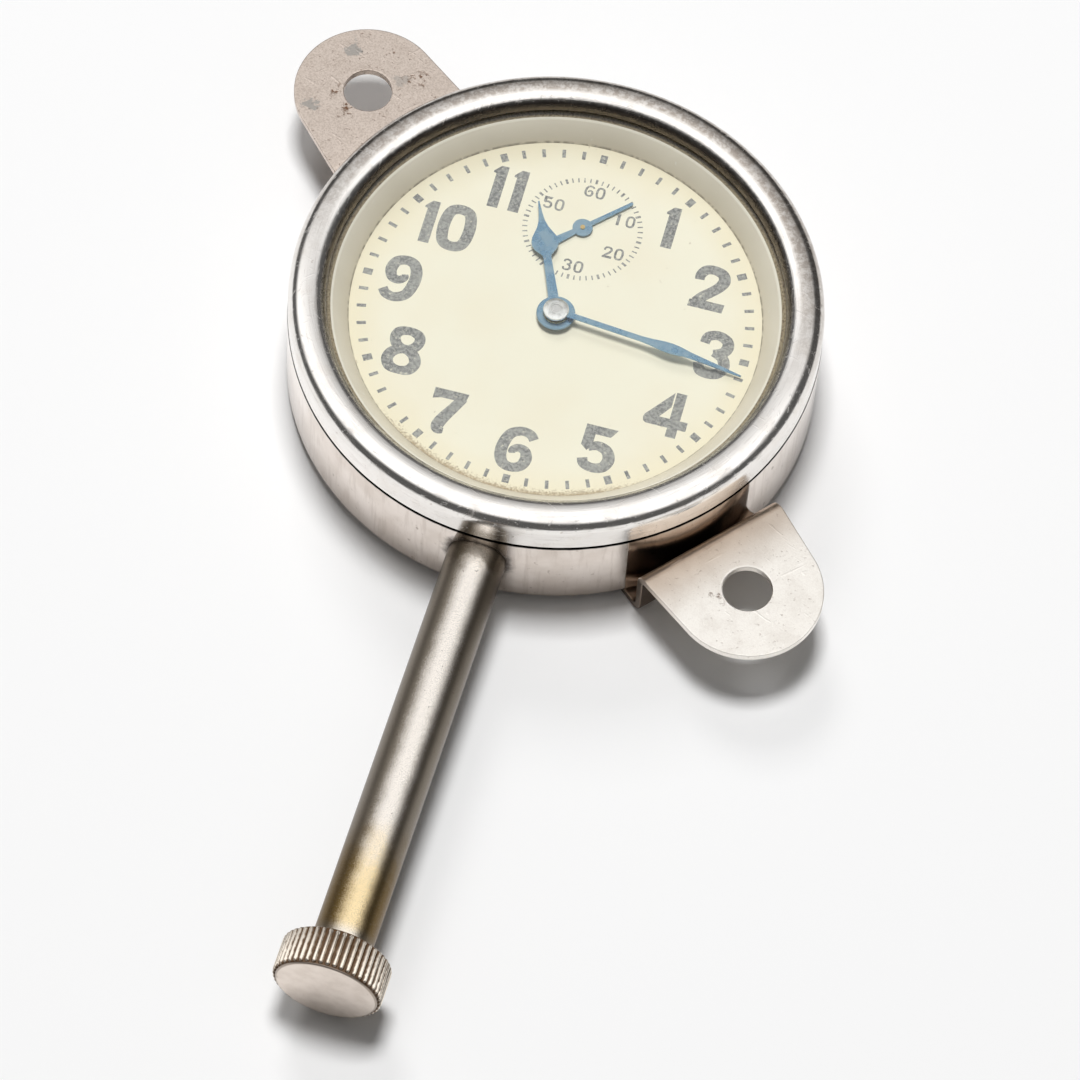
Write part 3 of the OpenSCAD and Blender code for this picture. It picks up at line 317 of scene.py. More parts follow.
def make_scratches():
    """Thin scratches in several directions."""
    tree, into, out = new_group("scratches", [("Per mm", 2.0), ("Amount", 0.5)])
    lines = []
    for turn, tilt in ((0.4, 0.2), (1.7, -0.5), (2.6, 0.9)):
        coords = tree.nodes.new("ShaderNodeTexCoord")
        turned = tree.nodes.new("ShaderNodeMapping")
        turned.inputs["Rotation"].default_value = (tilt, tilt * 0.7, turn)
        tree.links.new(coords.outputs["Object"], turned.inputs["Vector"])
        stretched = tree.nodes.new("ShaderNodeMapping")
        stretched.inputs["Scale"].default_value = (60, 1000, 1000)
        tree.links.new(turned.outputs["Vector"], stretched.inputs["Vector"])
        value = noise(stretched.outputs["Vector"], into["Per mm"], 2.0, 0.5)
        lines.append(ramp(value, 0.66, 0.72))
    tree.links.new(times(most(*lines), into["Amount"]), out)
    return tree


def make_turned_marks():
    """Fine rings left by turning and polishing about the dial axis, broken along their length."""
    tree, into, out = new_group("turned_marks", [("Per mm", 9.0), ("Breaks", 2.5)])
    x, y, z = xyz(place_mm(tree))
    around = join("ARCTAN2", y, x)
    # cosine and sine of the angle, so that its seam doesn't show
    lap = tree.nodes.new("ShaderNodeCombineXYZ")
    put_in(lap.inputs, (times(join("COSINE", around), into["Breaks"]),
                        times(join("SINE", around), into["Breaks"]),
                        times(plus(distance_from(x, y), times(z, 1.31)), into["Per mm"])))
    tree.links.new(noise(lap.outputs["Vector"], 1.0, 2.0), out)
    return tree


GROUPS = {"specks": make_specks(), "clouds": make_clouds(),
          "scratches": make_scratches(), "turned": make_turned_marks()}


def start(name, **plain):
    """New material with its Principled shader; plain values are set on its own sockets."""
    finish = bpy.data.materials.new(name)
    finish.use_nodes = True
    shader = finish.node_tree.nodes["Principled BSDF"]
    feed(shader, **plain)
    return finish, finish.node_tree, shader


def raise_by(shader, height, strength, distance):
    """Bump on the shader from a height socket; distance is in metres."""
    bump = height.id_data.nodes.new("ShaderNodeBump")
    feed(bump, Strength=strength, Distance=distance, Height=height)
    feed(shader, Normal=bump.outputs["Normal"])


# ---- finishes ----

def bezel_finish():
    """Polished nickel, rubbed in short streaks, with dirt and painted shade inside the lip."""
    finish, tree, shader = start("polished_nickel", Metallic=1.0)
    place = place_mm(tree)
    x, y, z = xyz(place)
    off = distance_from(x, y)
    rings = use_group(tree, "turned", Per_mm=5.0, Breaks=9.0)
    nicks = use_group(tree, "scratches", Per_mm=1.8, Amount=1.0)
    haze = use_group(tree, "clouds", Per_mm=0.35, Low=0.45, High=0.7)
    spots = use_group(tree, "specks", Per_mm=0.9, Level=0.70, Soft=0.05)
    rubbed = ramp(rings, 0.52, 0.72)
    depth = plus(off, times(noise(place, 1.3, 4.0), 0.5))
    # near-black inside the lip where it meets the glass: dirt with painted shade in the crease
    lip = times(ramp(depth, 34.3, 33.6), ramp(z, 17.6, 18.2), 0.93)
    worn = times(ramp(off, 34.5, 35.3), ramp(y, -12.0, 22.0), ramp(z, 18.6, 19.8))
    mottle = ramp(noise(place, 1.1, 5.0, 0.7), 0.35, 0.62)
    colour = coats(blend(haze, (0.91, 0.88, 0.845), (0.86, 0.82, 0.775)),
                   (times(rubbed, 0.35), (0.64, 0.59, 0.55)),
                   (times(worn, level_between(mottle, 0.50, 1.0)), (0.40, 0.355, 0.315)),
                   (times(spots, 0.6), (0.45, 0.37, 0.31)),
                   (lip, (0.08, 0.058, 0.04)))
    rough = plus(level_between(haze, 0.13, 0.20), times(nicks, 0.12), times(rubbed, 0.14))
    feed(shader, Base_Color=colour, Roughness=rough)
    raise_by(shader, plus(rings, times(nicks, 0.7)), 0.4, 0.00003)
    return finish


def case_finish():
    """Nickel drum, less polished, with streaks and dirt at the parting line and round the tube."""
    finish, tree, shader = start("satin_nickel", Metallic=1.0)
    place = place_mm(tree)
    x, y, z = xyz(place)
    streaks = noise(place_mm(tree, (1.0, 1.0, 0.12)), 1.1, 4.0)
    haze = use_group(tree, "clouds", Per_mm=0.16, Low=0.40, High=0.66)
    spots = use_group(tree, "specks", Per_mm=0.9, Level=0.655, Soft=0.08)
    nicks = use_group(tree, "scratches", Per_mm=0.9, Amount=0.7)
    ragged = noise(place, 0.9, 4.0)
    near_tube = plus(distance_from(x, z, 0.0, STEM_Z), times(ragged, 2.2))
    joint = times(ramp(near_tube, 6.9, 5.3), ramp(y, -30.0, -34.0), 0.85)
    part_line = ramp(plus(z, times(ragged, 0.3)), 15.0, 15.25)
    colour = coats(blend(haze, (0.82, 0.745, 0.685), (0.71, 0.63, 0.565)),
                   (times(ramp(streaks, 0.48, 0.68), 0.38), (0.52, 0.44, 0.38)),
                   (times(spots, 0.7), (0.30, 0.23, 0.18)),
                   (joint, (0.06, 0.045, 0.035)),
                   (part_line, (0.015, 0.012, 0.01)))
    rough = plus(level_between(haze, 0.05, 0.10), times(streaks, 0.05), times(joint, 0.3))
    feed(shader, Base_Color=colour, Roughness=rough)
    raise_by(shader, plus(streaks, nicks), 0.12, 0.00004)
    return finish


def strap_finish():
    """Plated strip: the far left ear is dull and pitted with rust, the near one still bright."""
    finish, tree, shader = start("worn_strap_plating", Metallic=1.0)
    place = place_mm(tree)
    x, y, z = xyz(place)
    turn = math.radians(EAR_ANGLE)
    hole = (EAR_HOLE_AT * math.cos(turn), EAR_HOLE_AT * math.sin(turn))
    along = plus(times(x, math.cos(turn)), times(y, math.sin(turn)))
    dull = ramp(x, 10.0, -10.0)
    grain = noise(place, 3.6, 4.0, 0.7)
    ragged = noise(place, 0.8, 5.0, 0.65)
    haze = use_group(tree, "clouds", Per_mm=0.3, Low=0.42, High=0.66)
    nicks = use_group(tree, "scratches", Per_mm=1.1, Amount=0.8)
    pits = use_group(tree, "specks", Per_mm=1.6, Level=0.52, Soft=0.13)
    few = use_group(tree, "specks", Per_mm=1.9, Level=0.63, Soft=0.12)
    clusters = most(*(blot(x, y, spot, ragged) for spot in RUST_AT))
    rust = most(times(clusters, pits), times(few, level_between(dull, 0.35, 0.65)))
    stains = most(*(blot(x, y, spot, ragged) for spot in STAINS_AT),
                  times(blot(x, y, FAINT_STAIN_AT, ragged), 0.6))
    fold = times(ramp(along, 49.5, 41.0), ramp(along, 30.0, 38.0))
    ring = ramp(distance_from(x, y, *hole), 4.0, 3.7)
    speckle = times(ramp(grain, 0.42, 0.60), level_between(dull, 0.09, 0.48))
    colour = coats(blend(dull, (1.0, 0.96, 0.895), (0.73, 0.63, 0.555)),
                   (plus(times(haze, 0.12), speckle), (0.46, 0.38, 0.32)),
                   (times(fold, 0.75), (0.52, 0.41, 0.32)),
                   # painted shade: the legs below the ears, beside and under the case, are darkened
                   (times(ramp(z, 9.2, 8.0), 0.9), (0.15, 0.105, 0.075)),
                   (times(stains, 0.75), (0.36, 0.35, 0.33)),
                   (times(ring, 0.5), (1.0, 0.96, 0.90)),
                   (rust, (0.17, 0.088, 0.048)))
    rough = plus(level_between(haze, 0.30, 0.38), times(rust, 0.3))
    feed(shader, Base_Color=colour, Roughness=rough, Metallic=level_between(rust, 1.0, 0.3))
    height = plus(times(grain, 0.5), join("SUBTRACT", nicks, times(rust, 3.0)))
    raise_by(shader, height, 0.4, 0.00006)
    return finish


def tube_finish():
    """Painted highlight along the top and painted shade down each side, worn to brass near the
    knob.
    """
    finish, tree, shader = start("worn_tube_plating", Metallic=1.0)
    place = place_mm(tree)
    x, y, z = xyz(place)
    round_tube = join("ARCTAN2", x, join("SUBTRACT", z, STEM_Z))
    grain = noise(place, 7.0, 2.0)
    patch = noise(place, 0.35, 4.0)
    wander = plus(round_tube, times(join("SUBTRACT", patch, 0.5), 0.20),
                  times(join("SUBTRACT", grain, 0.5), 0.55))
    # painted highlight and painted shade: bright along the top of the tube, dark down each side,
    # set by the angle round it
    painted_shade_sides = most(ramp(wander, 0.05, -0.48), ramp(wander, 0.22, 0.75))
    spots = use_group(tree, "specks", Per_mm=1.3, Level=0.68, Soft=0.05)
    reach = plus(y, times(join("SUBTRACT", patch, 0.5), 9.0))
    bare = times(ramp(reach, -82.0, -96.0), ramp(y, -103.3, -100.5))
    # lit and shaded copies of the plating and of the bare brass: painted highlight on top, painted
    # shade down each side
    plated = blend(painted_shade_sides, (0.97, 0.91, 0.84), (0.20, 0.17, 0.135))
    brass = blend(painted_shade_sides, (0.99, 0.79, 0.47), (0.15, 0.095, 0.03))
    colour = coats(plated, (bare, brass),
                   (times(ramp(reach, -43.0, -40.0), 0.75), (0.09, 0.07, 0.045)),
                   (times(ramp(grain, 0.45, 0.70), 0.25), (0.36, 0.31, 0.25)),
                   (times(spots, 0.7), (0.16, 0.12, 0.09)))
    rough = plus(level_between(painted_shade_sides, 0.20, 0.28), times(grain, 0.10))
    feed(shader, Base_Color=colour, Roughness=rough)
    raise_by(shader, grain, 0.5, 0.00006)
    return finish


def knob_finish():
    """Bright ridge tops, brown dirt in the grooves and a matt end face."""
    finish, tree, shader = start("knob_plating", Metallic=1.0)
    place = place_mm(tree)
    x, y, z = xyz(place)
    off = distance_from(x, z, 0.0, STEM_Z)
    on_rim = times(ramp(y, -109.95, -109.7), ramp(off, 6.6, 7.0))
    smear = use_group(tree, "clouds", Per_mm=0.5, Low=0.35, High=0.7)
    spots = use_group(tree, "specks", Per_mm=1.2, Level=0.67, Soft=0.05)
    ragged = noise(place, 1.6, 4.0)
    depth = plus(off, times(join("SUBTRACT", 0.5, ragged), 0.45))
    dirt = times(ramp(depth, 7.74, 7.50), on_rim)
    edge = times(ramp(off, 6.95, 7.2), ramp(y, -109.3, -109.6))
    colour = coats(blend(smear, (0.82, 0.73, 0.655), (0.74, 0.65, 0.575)),
                   (on_rim, (0.90, 0.81, 0.70)),
                   (most(dirt, times(edge, 0.6)), (0.12, 0.065, 0.03)),
                   (times(spots, 0.5), (0.40, 0.32, 0.26)))
    feed(shader, Base_Color=colour, Roughness=level_between(on_rim, 0.34, 0.22),
         Metallic=level_between(dirt, 1.0, 0.35))
    raise_by(shader, plus(smear, ragged), 0.10, 0.00005)
    return finish


def reflector_finish():
    """Matt silvered slope with a painted highlight on its edge, and gritty dirt on the flat under
    the lip.
    """
    finish, tree, shader = start("silvered_slope", Metallic=0.12)
    place = place_mm(tree)
    x, y, z = xyz(place)
    off = distance_from(x, y)
    grain = noise(place, 5.0, 3.0)
    grit = ramp(noise(place, 3.2, 5.0, 0.7), 0.44, 0.62)
    haze = use_group(tree, "clouds", Per_mm=0.1, Low=0.35, High=0.7)
    dust = use_group(tree, "specks", Per_mm=1.4, Level=0.70, Soft=0.03)
    flat = ramp(off, 32.25, 32.4)
    # painted highlight: a thin bright ring where the flat rounds over to the slope
    edge = times(ramp(off, 31.95, 32.12), ramp(off, 32.42, 32.3))
    foot = times(ramp(off, 30.0, 29.75), ramp(noise(place, 1.2, 4.0), 0.35, 0.6))
    colour = coats(blend(haze, (0.80, 0.73, 0.60), (0.74, 0.67, 0.54)),
                   (dust, (0.88, 0.84, 0.76)),
                   (flat, blend(grit, (0.42, 0.34, 0.22), (0.15, 0.105, 0.06))),
                   (edge, (0.92, 0.86, 0.74)),
                   (times(foot, 0.8), (0.22, 0.17, 0.10)))
    feed(shader, Base_Color=colour, Roughness=level_between(grain, 0.42, 0.58))
    raise_by(shader, grain, 0.15, 0.00004)
    return finish


def dial_finish():
    """Cream paint, yellower towards the rim, with brown dirt along the lower edge."""
    finish, tree, shader = start("cream_dial_paint", Roughness=0.55)
    place = place_mm(tree)
    x, y, z = xyz(place)
    off = distance_from(x, y)
    patch = noise(place, 0.16, 4.0)
    haze = use_group(tree, "clouds", Per_mm=0.09, Low=0.35, High=0.7)
    fine = use_group(tree, "specks", Per_mm=0.9, Level=0.715, Soft=0.04)
    grit = noise(place, 3.4, 5.0, 0.7)
    edge = ramp(plus(off, times(patch, 5.0)), 26.0, 33.0)
    low_edge = times(ramp(off, 27.9, 29.9), ramp(y, -19.0, -27.0))
    dirt = ramp(plus(grit, times(low_edge, 0.28)), 0.60, 0.84)
    colour = coats(blend(haze, (0.93, 0.875, 0.715), (0.92, 0.85, 0.68)),
                   (edge, (0.885, 0.80, 0.60)),
                   (times(fine, 0.5), (0.42, 0.33, 0.22)),
                   (times(dirt, ramp(low_edge, 0.0, 0.4), 0.85), (0.33, 0.235, 0.13)),
                   (times(ramp(low_edge, 0.5, 1.0), 0.4), (0.42, 0.31, 0.18)))
    feed(shader, Base_Color=colour)
    raise_by(shader, noise(place, 2.5, 3.0), 0.04, 0.00003)
    return finish


def print_finish():
    """Dial ink, thinned and flecked where the cream shows through."""
    finish, tree, shader = start("worn_dial_ink", Roughness=0.6)
    place = place_mm(tree)
    grain = ramp(noise(place, 2.2, 4.0, 0.7), 0.40, 0.60)
    flecks = ramp(noise(place, 1.5, 5.0, 0.75), 0.57, 0.66)
    thin = ramp(noise(place, 0.25, 3.0), 0.38, 0.68)
    colour = coats(blend(grain, (0.155, 0.155, 0.155), (0.37, 0.365, 0.345)),
                   (times(thin, 0.35), (0.46, 0.45, 0.41)),
                   (times(flecks, 0.75), (0.74, 0.70, 0.58)))
    feed(shader, Base_Color=colour)
    return finish


def hand_finish():
    """Heat-blued steel with a paler, greyer bloom."""
    finish, tree, shader = start("blued_hands", Metallic=0.9)
    place = place_mm(tree)
    bloom = ramp(noise(place, 0.5, 4.0), 0.38, 0.66)
    flecks = use_group(tree, "specks", Per_mm=2.6, Level=0.66, Soft=0.08)
    colour = coats(blend(bloom, (0.17, 0.32, 0.46), (0.30, 0.45, 0.56)),
                   (flecks, (0.55, 0.60, 0.62)))
    feed(shader, Base_Color=colour, Roughness=level_between(bloom, 0.24, 0.38))
    raise_by(shader, noise(place, 5.0, 2.0), 0.06, 0.00002)
    return finish


def collet_finish():
    """Turned steel with faint stains."""
    finish, tree, shader = start("turned_collet_steel", Metallic=1.0)
    rings = use_group(tree, "turned", Per_mm=6.0, Breaks=2.0)
    stain = ramp(noise(place_mm(tree), 1.6, 4.0), 0.45, 0.7)
    feed(shader, Base_Color=blend(stain, (0.88, 0.88, 0.86), (0.62, 0.62, 0.60)),
         Roughness=level_between(rings, 0.22, 0.42))
    raise_by(shader, rings, 0.15, 0.00003)
    return finish


def glass_finish():
    """Flat clear glass that lets lamp light through to the dial."""
    finish, tree, shader = start("watch_glass", Metallic=0.0, Transmission_Weight=1.0, IOR=1.5)
    shader.inputs["Base Color"].default_value = (0.985, 0.99, 0.985, 1)
    dust = use_group(tree, "clouds", Per_mm=0.3, Low=0.5, High=0.8)
    feed(shader, Roughness=level_between(dust, 0.0, 0.03))
    path = tree.nodes.new("ShaderNodeLightPath").outputs
    clear = tree.nodes.new("ShaderNodeBsdfTransparent")
    clear.inputs["Color"].default_value = (0.97, 0.98, 0.97, 1)
    either = tree.nodes.new("ShaderNodeMixShader")
    put_in(either.inputs, (most(path["Is Shadow Ray"], path["Is Diffuse Ray"]),
                           shader.outputs["BSDF"], clear.outputs["BSDF"]))
    tree.links.new(either.outputs["Shader"], tree.nodes["Material Output"].inputs["Surface"])
    return finish


def inner_finish(name, light, dark, rough, metal=1.0):
    """Movement metal: two tones with a brushed grain; the arbor tip at the hands is bare steel."""
    finish, tree, shader = start(name, Metallic=metal)
    brush = noise(place_mm(tree, (1.0, 0.12, 1.0)), 6.0, 3.0)
    haze = use_group(tree, "clouds", Per_mm=0.2, Low=0.38, High=0.66)
    x, y, z = xyz(place_mm(tree))
    tip = times(ramp(z, 15.9, 16.1), ramp(distance_from(x, y), 1.4, 1.2))
    feed(shader, Base_Color=blend(tip, blend(haze, light, dark), (0.72, 0.71, 0.69)),
         Roughness=level_between(brush, rough, rough + 0.15))
    raise_by(shader, brush, 0.08, 0.00003)
    return finish


FINISHES = {
    "nickel_case": case_finish(), "nickel_bezel": bezel_finish(), "crystal": glass_finish(),
    "reflector": reflector_finish(), "strap_steel": strap_finish(), "tube_nickel": tube_finish(),
    "knob_nickel": knob_finish(), "dial_face": dial_finish(), "blued_steel": hand_finish(),
    "hand_steel": collet_finish(),
    "movement_brass": inner_finish("plate_brass", (0.72, 0.52, 0.24), (0.58, 0.40, 0.17), 0.28),
    "wheel_brass": inner_finish("wheel_brass_gilt", (0.80, 0.60, 0.28), (0.66, 0.47, 0.19), 0.22),
    "steel_parts": inner_finish("grey_steel", (0.60, 0.60, 0.61), (0.46, 0.46, 0.47), 0.25),
    "screw_steel": inner_finish("screw_head_steel", (0.44, 0.44, 0.46), (0.32, 0.32, 0.34), 0.22),
    "spring_steel": inner_finish("blue_spring_steel", (0.12, 0.16, 0.30), (0.20, 0.22, 0.30), 0.26),
    "jewel": inner_finish("garnet_jewel", (0.45, 0.03, 0.06), (0.30, 0.02, 0.05), 0.08, 0.0),
}
INK = print_finish()

SLOT_OF = {row["node"]: row["material_slot"] for row in frame["record"]["subparts"]}
for node_name, slot_name in SLOT_OF.items():
    NODES[node_name].data.materials.clear()
    NODES[node_name].data.materials.append(FINISHES[slot_name])


# ---- modelling helpers ----

def edit_mode(on):
    bpy.ops.object.mode_set(mode="EDIT" if on else "OBJECT")


def only(*pieces):
    """Selects these pieces and no others, the first as the active one."""
    bpy.ops.object.select_all(action="DESELECT")
    for piece in pieces:
        piece.select_set(True)
    if pieces:
        bpy.context.view_layer.objects.active = pieces[0]


def select_mesh():
    bpy.ops.mesh.select_all(action="SELECT")


def pick(piece, kind, wanted):
    """Selects the vertices or faces of the piece being edited whose place, in mm, is wanted."""
    mesh = bmesh.from_edit_mesh(piece.data)
    bpy.ops.mesh.select_mode(type=kind)
    bpy.ops.mesh.select_all(action="DESELECT")
    if kind == "FACE":
        found = [face for face in mesh.faces if wanted(face.calc_center_median() / MM)]
    else:
        found = [vertex for vertex in mesh.verts if wanted(vertex.co / MM)]
    for element in found:
        element.select_set(True)
    mesh.select_flush_mode()
    bmesh.update_edit_mesh(piece.data)


def draw_out(step):
    """Extrudes what is selected by a step in millimetres."""
    bpy.ops.mesh.extrude_region_move(TRANSFORM_OT_translate={"value": Vector(step) * MM})


def draw_line(points):
    """Draws on from the selected vertex, one extruded vertex for each further point."""
    for here, there in zip(points, points[1:]):
        step = (Vector(there) - Vector(here)) * MM
        bpy.ops.mesh.extrude_vertices_move(TRANSFORM_OT_translate={"value": step})


def close_line(piece, count):
    """Joins the ends of the line of the last count vertices."""
    mesh = bmesh.from_edit_mesh(piece.data)
    bpy.ops.mesh.select_all(action="DESELECT")
    mesh.verts.ensure_lookup_table()
    mesh.verts[-count].select_set(True)
    mesh.verts[-1].select_set(True)
    mesh.select_flush_mode()
    bpy.ops.mesh.edge_face_add()


def draw_loop(name, points, closed=True):
    """New piece, left in edit mode, with a line through the points (mm)."""
    only()
    bpy.ops.mesh.primitive_plane_add(size=MM)
    piece = bpy.context.object
    piece.name = name
    edit_mode(True)
    bpy.ops.mesh.select_mode(type="VERT")
    select_mesh()
    bpy.ops.mesh.merge(type="CENTER")
    bpy.ops.transform.translate(value=Vector(points[0]) * MM)
    draw_line(points)
    if closed:
        close_line(piece, len(points))
    return piece


def add_loop(piece, points):
    """Second closed line in the piece being edited."""
    bpy.ops.mesh.primitive_circle_add(vertices=3, radius=MM, location=(0, 0, 0))
    bpy.ops.mesh.merge(type="CENTER")
    bpy.ops.transform.translate(value=Vector(points[0]) * MM)
    draw_line(points)
    close_line(piece, len(points))


def flat_face(name, points):
    """Flat face with the given corners (mm)."""
    piece = draw_loop(name, points)
    select_mesh()
    bpy.ops.mesh.edge_face_add()
    edit_mode(False)
    return piece


def flat_ring(name, outer, inner):
    """New piece, left in edit mode: the flat face between two closed lines (mm)."""
    piece = draw_loop(name, outer)
    add_loop(piece, inner)
    select_mesh()
    bpy.ops.mesh.bridge_edge_loops()
    return piece


def tidy_mesh(piece, angle=35.0):
    """Merges doubles, turns normals outward and smooths all but sharp edges."""
    edit_mode(True)
    bpy.ops.mesh.select_mode(type="VERT")
    select_mesh()
    bpy.ops.mesh.remove_doubles(threshold=MERGE)
    bpy.ops.mesh.normals_make_consistent(inside=False)
    edit_mode(False)
    only(piece)
    bpy.ops.object.shade_smooth_by_angle(angle=math.radians(angle))


def apply_modifier(piece, kind, **settings):
    only(piece)
    modifier = piece.modifiers.new(kind.lower(), kind)
    for label, value in settings.items():
        setattr(modifier, label, value)
    bpy.ops.object.modifier_apply(modifier=modifier.name)


def join_pieces(name, pieces):
    only(*pieces)
    bpy.ops.object.join()
    pieces[0].name = name
    return pieces[0]


def lathe(name, outline, steps, centre=(0, 0, 0), along=(0, 0, 1), angle=35.0):
    """Outline of (radius, height) pairs turned round an axis, closed unless both ends lie on it."""
    if along[2]:
        points = [(r, 0, h) for r, h in outline]
    else:
        points = [(r, h, centre[2]) for r, h in outline]
    on_axis = outline[0][0] == 0 and outline[-1][0] == 0
    piece = draw_loop(name, points, closed=not on_axis)
    select_mesh()
    bpy.ops.mesh.spin(steps=steps, angle=math.tau, center=Vector(centre) * MM, axis=along)
    tidy_mesh(piece, angle)
    return piece


def arc(centre, radius, first, last, count):
    """Points of an arc between two angles in degrees, both ends included."""
    angles = [math.radians(first + (last - first) * i / count) for i in range(count + 1)]
    return [(centre[0] + radius * math.cos(a), centre[1] + radius * math.sin(a)) for a in angles]


def install(piece, node, body="case"):
    """Finished piece stands in for a CAD node: same material, body and slot."""
    slot = SLOT_OF[node]
    piece.name = node + "_fine"
    piece.data.materials.clear()
    piece.data.materials.append(FINISHES[slot])
    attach(piece, body)
    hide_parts(node)


# ---- turned and bent outer pieces ----

def make_bezel():
    """Half-round bead flowing into a straight skirt, and the seat for the glass."""
    outline = [(37.95, 15.58), (37.98, SKIRT_Z), (38.38, SKIRT_Z), (SKIRT_R, 15.62),
               (SKIRT_R, 17.0)]
    outline += arc(BEAD, BEAD_R, 0.0, 168.0, 44)
    outline += [(32.94, 18.98), (32.99, 18.87), (33.1, 18.85), (34.0, 18.85), (34.0, 17.52),
                (37.0, 17.52), (37.0, 17.0), (37.95, 17.0)]
    install(lathe("bezel", outline, 240), "bezel")


def make_reflector():
    """Sloped ring with a small rounded edge at the dial."""
    outline = [(29.72, 14.62), (29.78, DIAL_Z), (33.9, DIAL_Z), (33.9, 17.0), (36.7, 17.0),
               (36.7, GLASS_Z), (32.25, GLASS_Z), (32.15, 17.46), (29.73, 14.7)]
    install(lathe("reflector", outline, 200), "reflector_ring")


def make_glass():
    """Flat glass with a ground edge."""
    outline = [(0, GLASS_Z), (33.75, GLASS_Z), (GLASS_R, 17.65), (GLASS_R, 18.65),
               (33.75, GLASS_TOP), (0, GLASS_TOP)]
    install(lathe("glass", outline, 160), "crystal")


def make_tube():
    """Stem tube with its bore and softened ends."""
    outline = [(TUBE_BORE, TUBE_START), (4.2, TUBE_START), (TUBE_R, TUBE_START - 0.1),
               (TUBE_R, -60), (TUBE_R, -85), (TUBE_R, TUBE_END + 0.2), (4.1, TUBE_END),
               (TUBE_BORE, TUBE_END)]
    install(lathe("tube", outline, 96, (0, 0, STEM_Z), (0, 1, 0)), "stem_tube")


def make_knob():
    """Knob core with rounded edges and a rim of rounded ridges."""
    step = 360 / RIDGES
    flank = [(0.10, 7.82), (0.20, 7.72), (0.30, 7.56), (0.40, 7.46), (0.5, 7.44)]
    ridge = [(-part, radius) for part, radius in reversed(flank)] + [(0.0, 7.85)] + flank
    points = []
    for part, radius in ridge:
        a = math.radians(part * step)
        points.append((radius * math.cos(a), RIM_AT, STEM_Z + radius * math.sin(a)))
    axis = Vector((0, KNOB_AT, STEM_Z)) * MM
    rim = draw_loop("knob", points, closed=False)
    select_mesh()
    bpy.ops.mesh.spin(steps=RIDGES, angle=math.tau, dupli=True, center=axis, axis=(0, 1, 0))
    select_mesh()
    bpy.ops.mesh.remove_doubles(threshold=MERGE)
    select_mesh()
    # rim drawn out along the stem, drawn in a little at both ends
    depth = 0.0
    for go, size in ((0.0, 0.955), (0.16, 1.03), (0.22, 1.0165), (4.74, 1.0), (0.22, 0.984),
                     (0.16, 0.971)):
        if go:
            draw_out((0, -go, 0))
        depth += go
        bpy.ops.transform.resize(value=(size, 1, size),
                                 center_override=Vector((0, RIM_AT - depth, STEM_Z)) * MM)
    for end in (RIM_AT, RIM_AT - depth):
        pick(rim, "VERT", lambda place: abs(place.y - end) < CLOSE)
        bpy.ops.mesh.edge_face_add()
    tidy_mesh(rim, 50.0)
    y0, y1 = KNOB_AT, KNOB_AT - KNOB_T + 0.002
    core = [(0, y1 + 1.49), (1.51, y1 + 1.49), (1.51, y0), (6.9, y0), (7.12, y0 - 0.06),
            (7.3, y0 - 0.22), (7.38, y0 - 0.45), (7.38, y1 + 0.45), (7.3, y1 + 0.2),
            (7.12, y1 + 0.05), (6.85, y1), (0, y1)]
    core = lathe("knob_core", core, 120, (0, 0, STEM_Z), (0, 1, 0))
    install(join_pieces("knob", [core, rim]), "winding_knob", "stem_group")


def make_strap():
    """Ear cut and drilled flat, folded down beside the case and under it, then turned round."""
    turn = math.radians(EAR_ANGLE)
    out = Vector((math.cos(turn), math.sin(turn), 0))
    side = Vector((-math.sin(turn), math.cos(turn), 0))
    up = Vector((0, 0, 1))
    top0 = EAR_TOP - SHEET
    fold = LEG + SHEET + BEND
    narrowing = (STRAP_HALF - EAR_R) / math.hypot(EAR_HOLE_AT - fold, STRAP_HALF)
    lean = math.degrees(math.asin(narrowing))
    round_end = arc((EAR_HOLE_AT, 0), EAR_R, -90 + lean, 90 - lean, 56)
    corner = Vector((fold, STRAP_HALF))
    side_run = [tuple(Vector(round_end[-1]).lerp(corner, k / 6)) for k in range(1, 7)]
    fold_run = [(fold, STRAP_HALF * (1 - k / 6)) for k in range(1, 12)]
    flat = round_end + side_run + fold_run + [(x, -y) for x, y in reversed(side_run)]
    hole = []
    for x, y in flat:
        a = math.atan2(y, x - EAR_HOLE_AT)
        hole.append((EAR_HOLE_AT + EAR_HOLE_R * math.cos(a), EAR_HOLE_R * math.sin(a)))
    strap = flat_ring("strap", *([out * x + side * y + up * top0 for x, y in line]
                                 for line in (flat, hole)))
    select_mesh()
    draw_out(up * SHEET)
    select_mesh()
    bpy.ops.mesh.normals_make_consistent(inside=False)
    pick(strap, "FACE", lambda place: abs(place.dot(out) - fold) < CLOSE)
    bpy.ops.mesh.spin(steps=8, angle=math.pi / 2, axis=side,
                      center=(out * fold + up * (top0 - BEND)) * MM)
    draw_out(-up * (top0 - 2 * BEND - SHEET))
    bpy.ops.mesh.spin(steps=8, angle=-math.pi / 2, axis=side,
                      center=(out * (LEG - BEND) + up * (SHEET + BEND)) * MM)
    draw_out(-out * (LEG - BEND))
    bpy.ops.mesh.delete(type="FACE")
    select_mesh()
    bpy.ops.mesh.duplicate_move()
    bpy.ops.transform.rotate(value=math.pi, orient_axis="Z", center_override=(0, 0, 0))
    tidy_mesh(strap)
    for way in (-1, 1):
        only()
        bpy.ops.mesh.primitive_cylinder_add(vertices=48, radius=RIVET_HOLE_R * MM, depth=6 * MM,
                                            location=out * RIVET_AT * way * MM)
        drill = bpy.context.object
        apply_modifier(strap, "BOOLEAN", operation="DIFFERENCE", object=drill, solver="EXACT")
        bpy.data.objects.remove(drill)
    apply_modifier(strap, "BEVEL", width=0.16 * MM, segments=3, limit_method="ANGLE",
                   angle_limit=math.radians(50), use_clamp_overlap=True)
    tidy_mesh(strap, 40.0)
    install(strap, "mounting_strap")


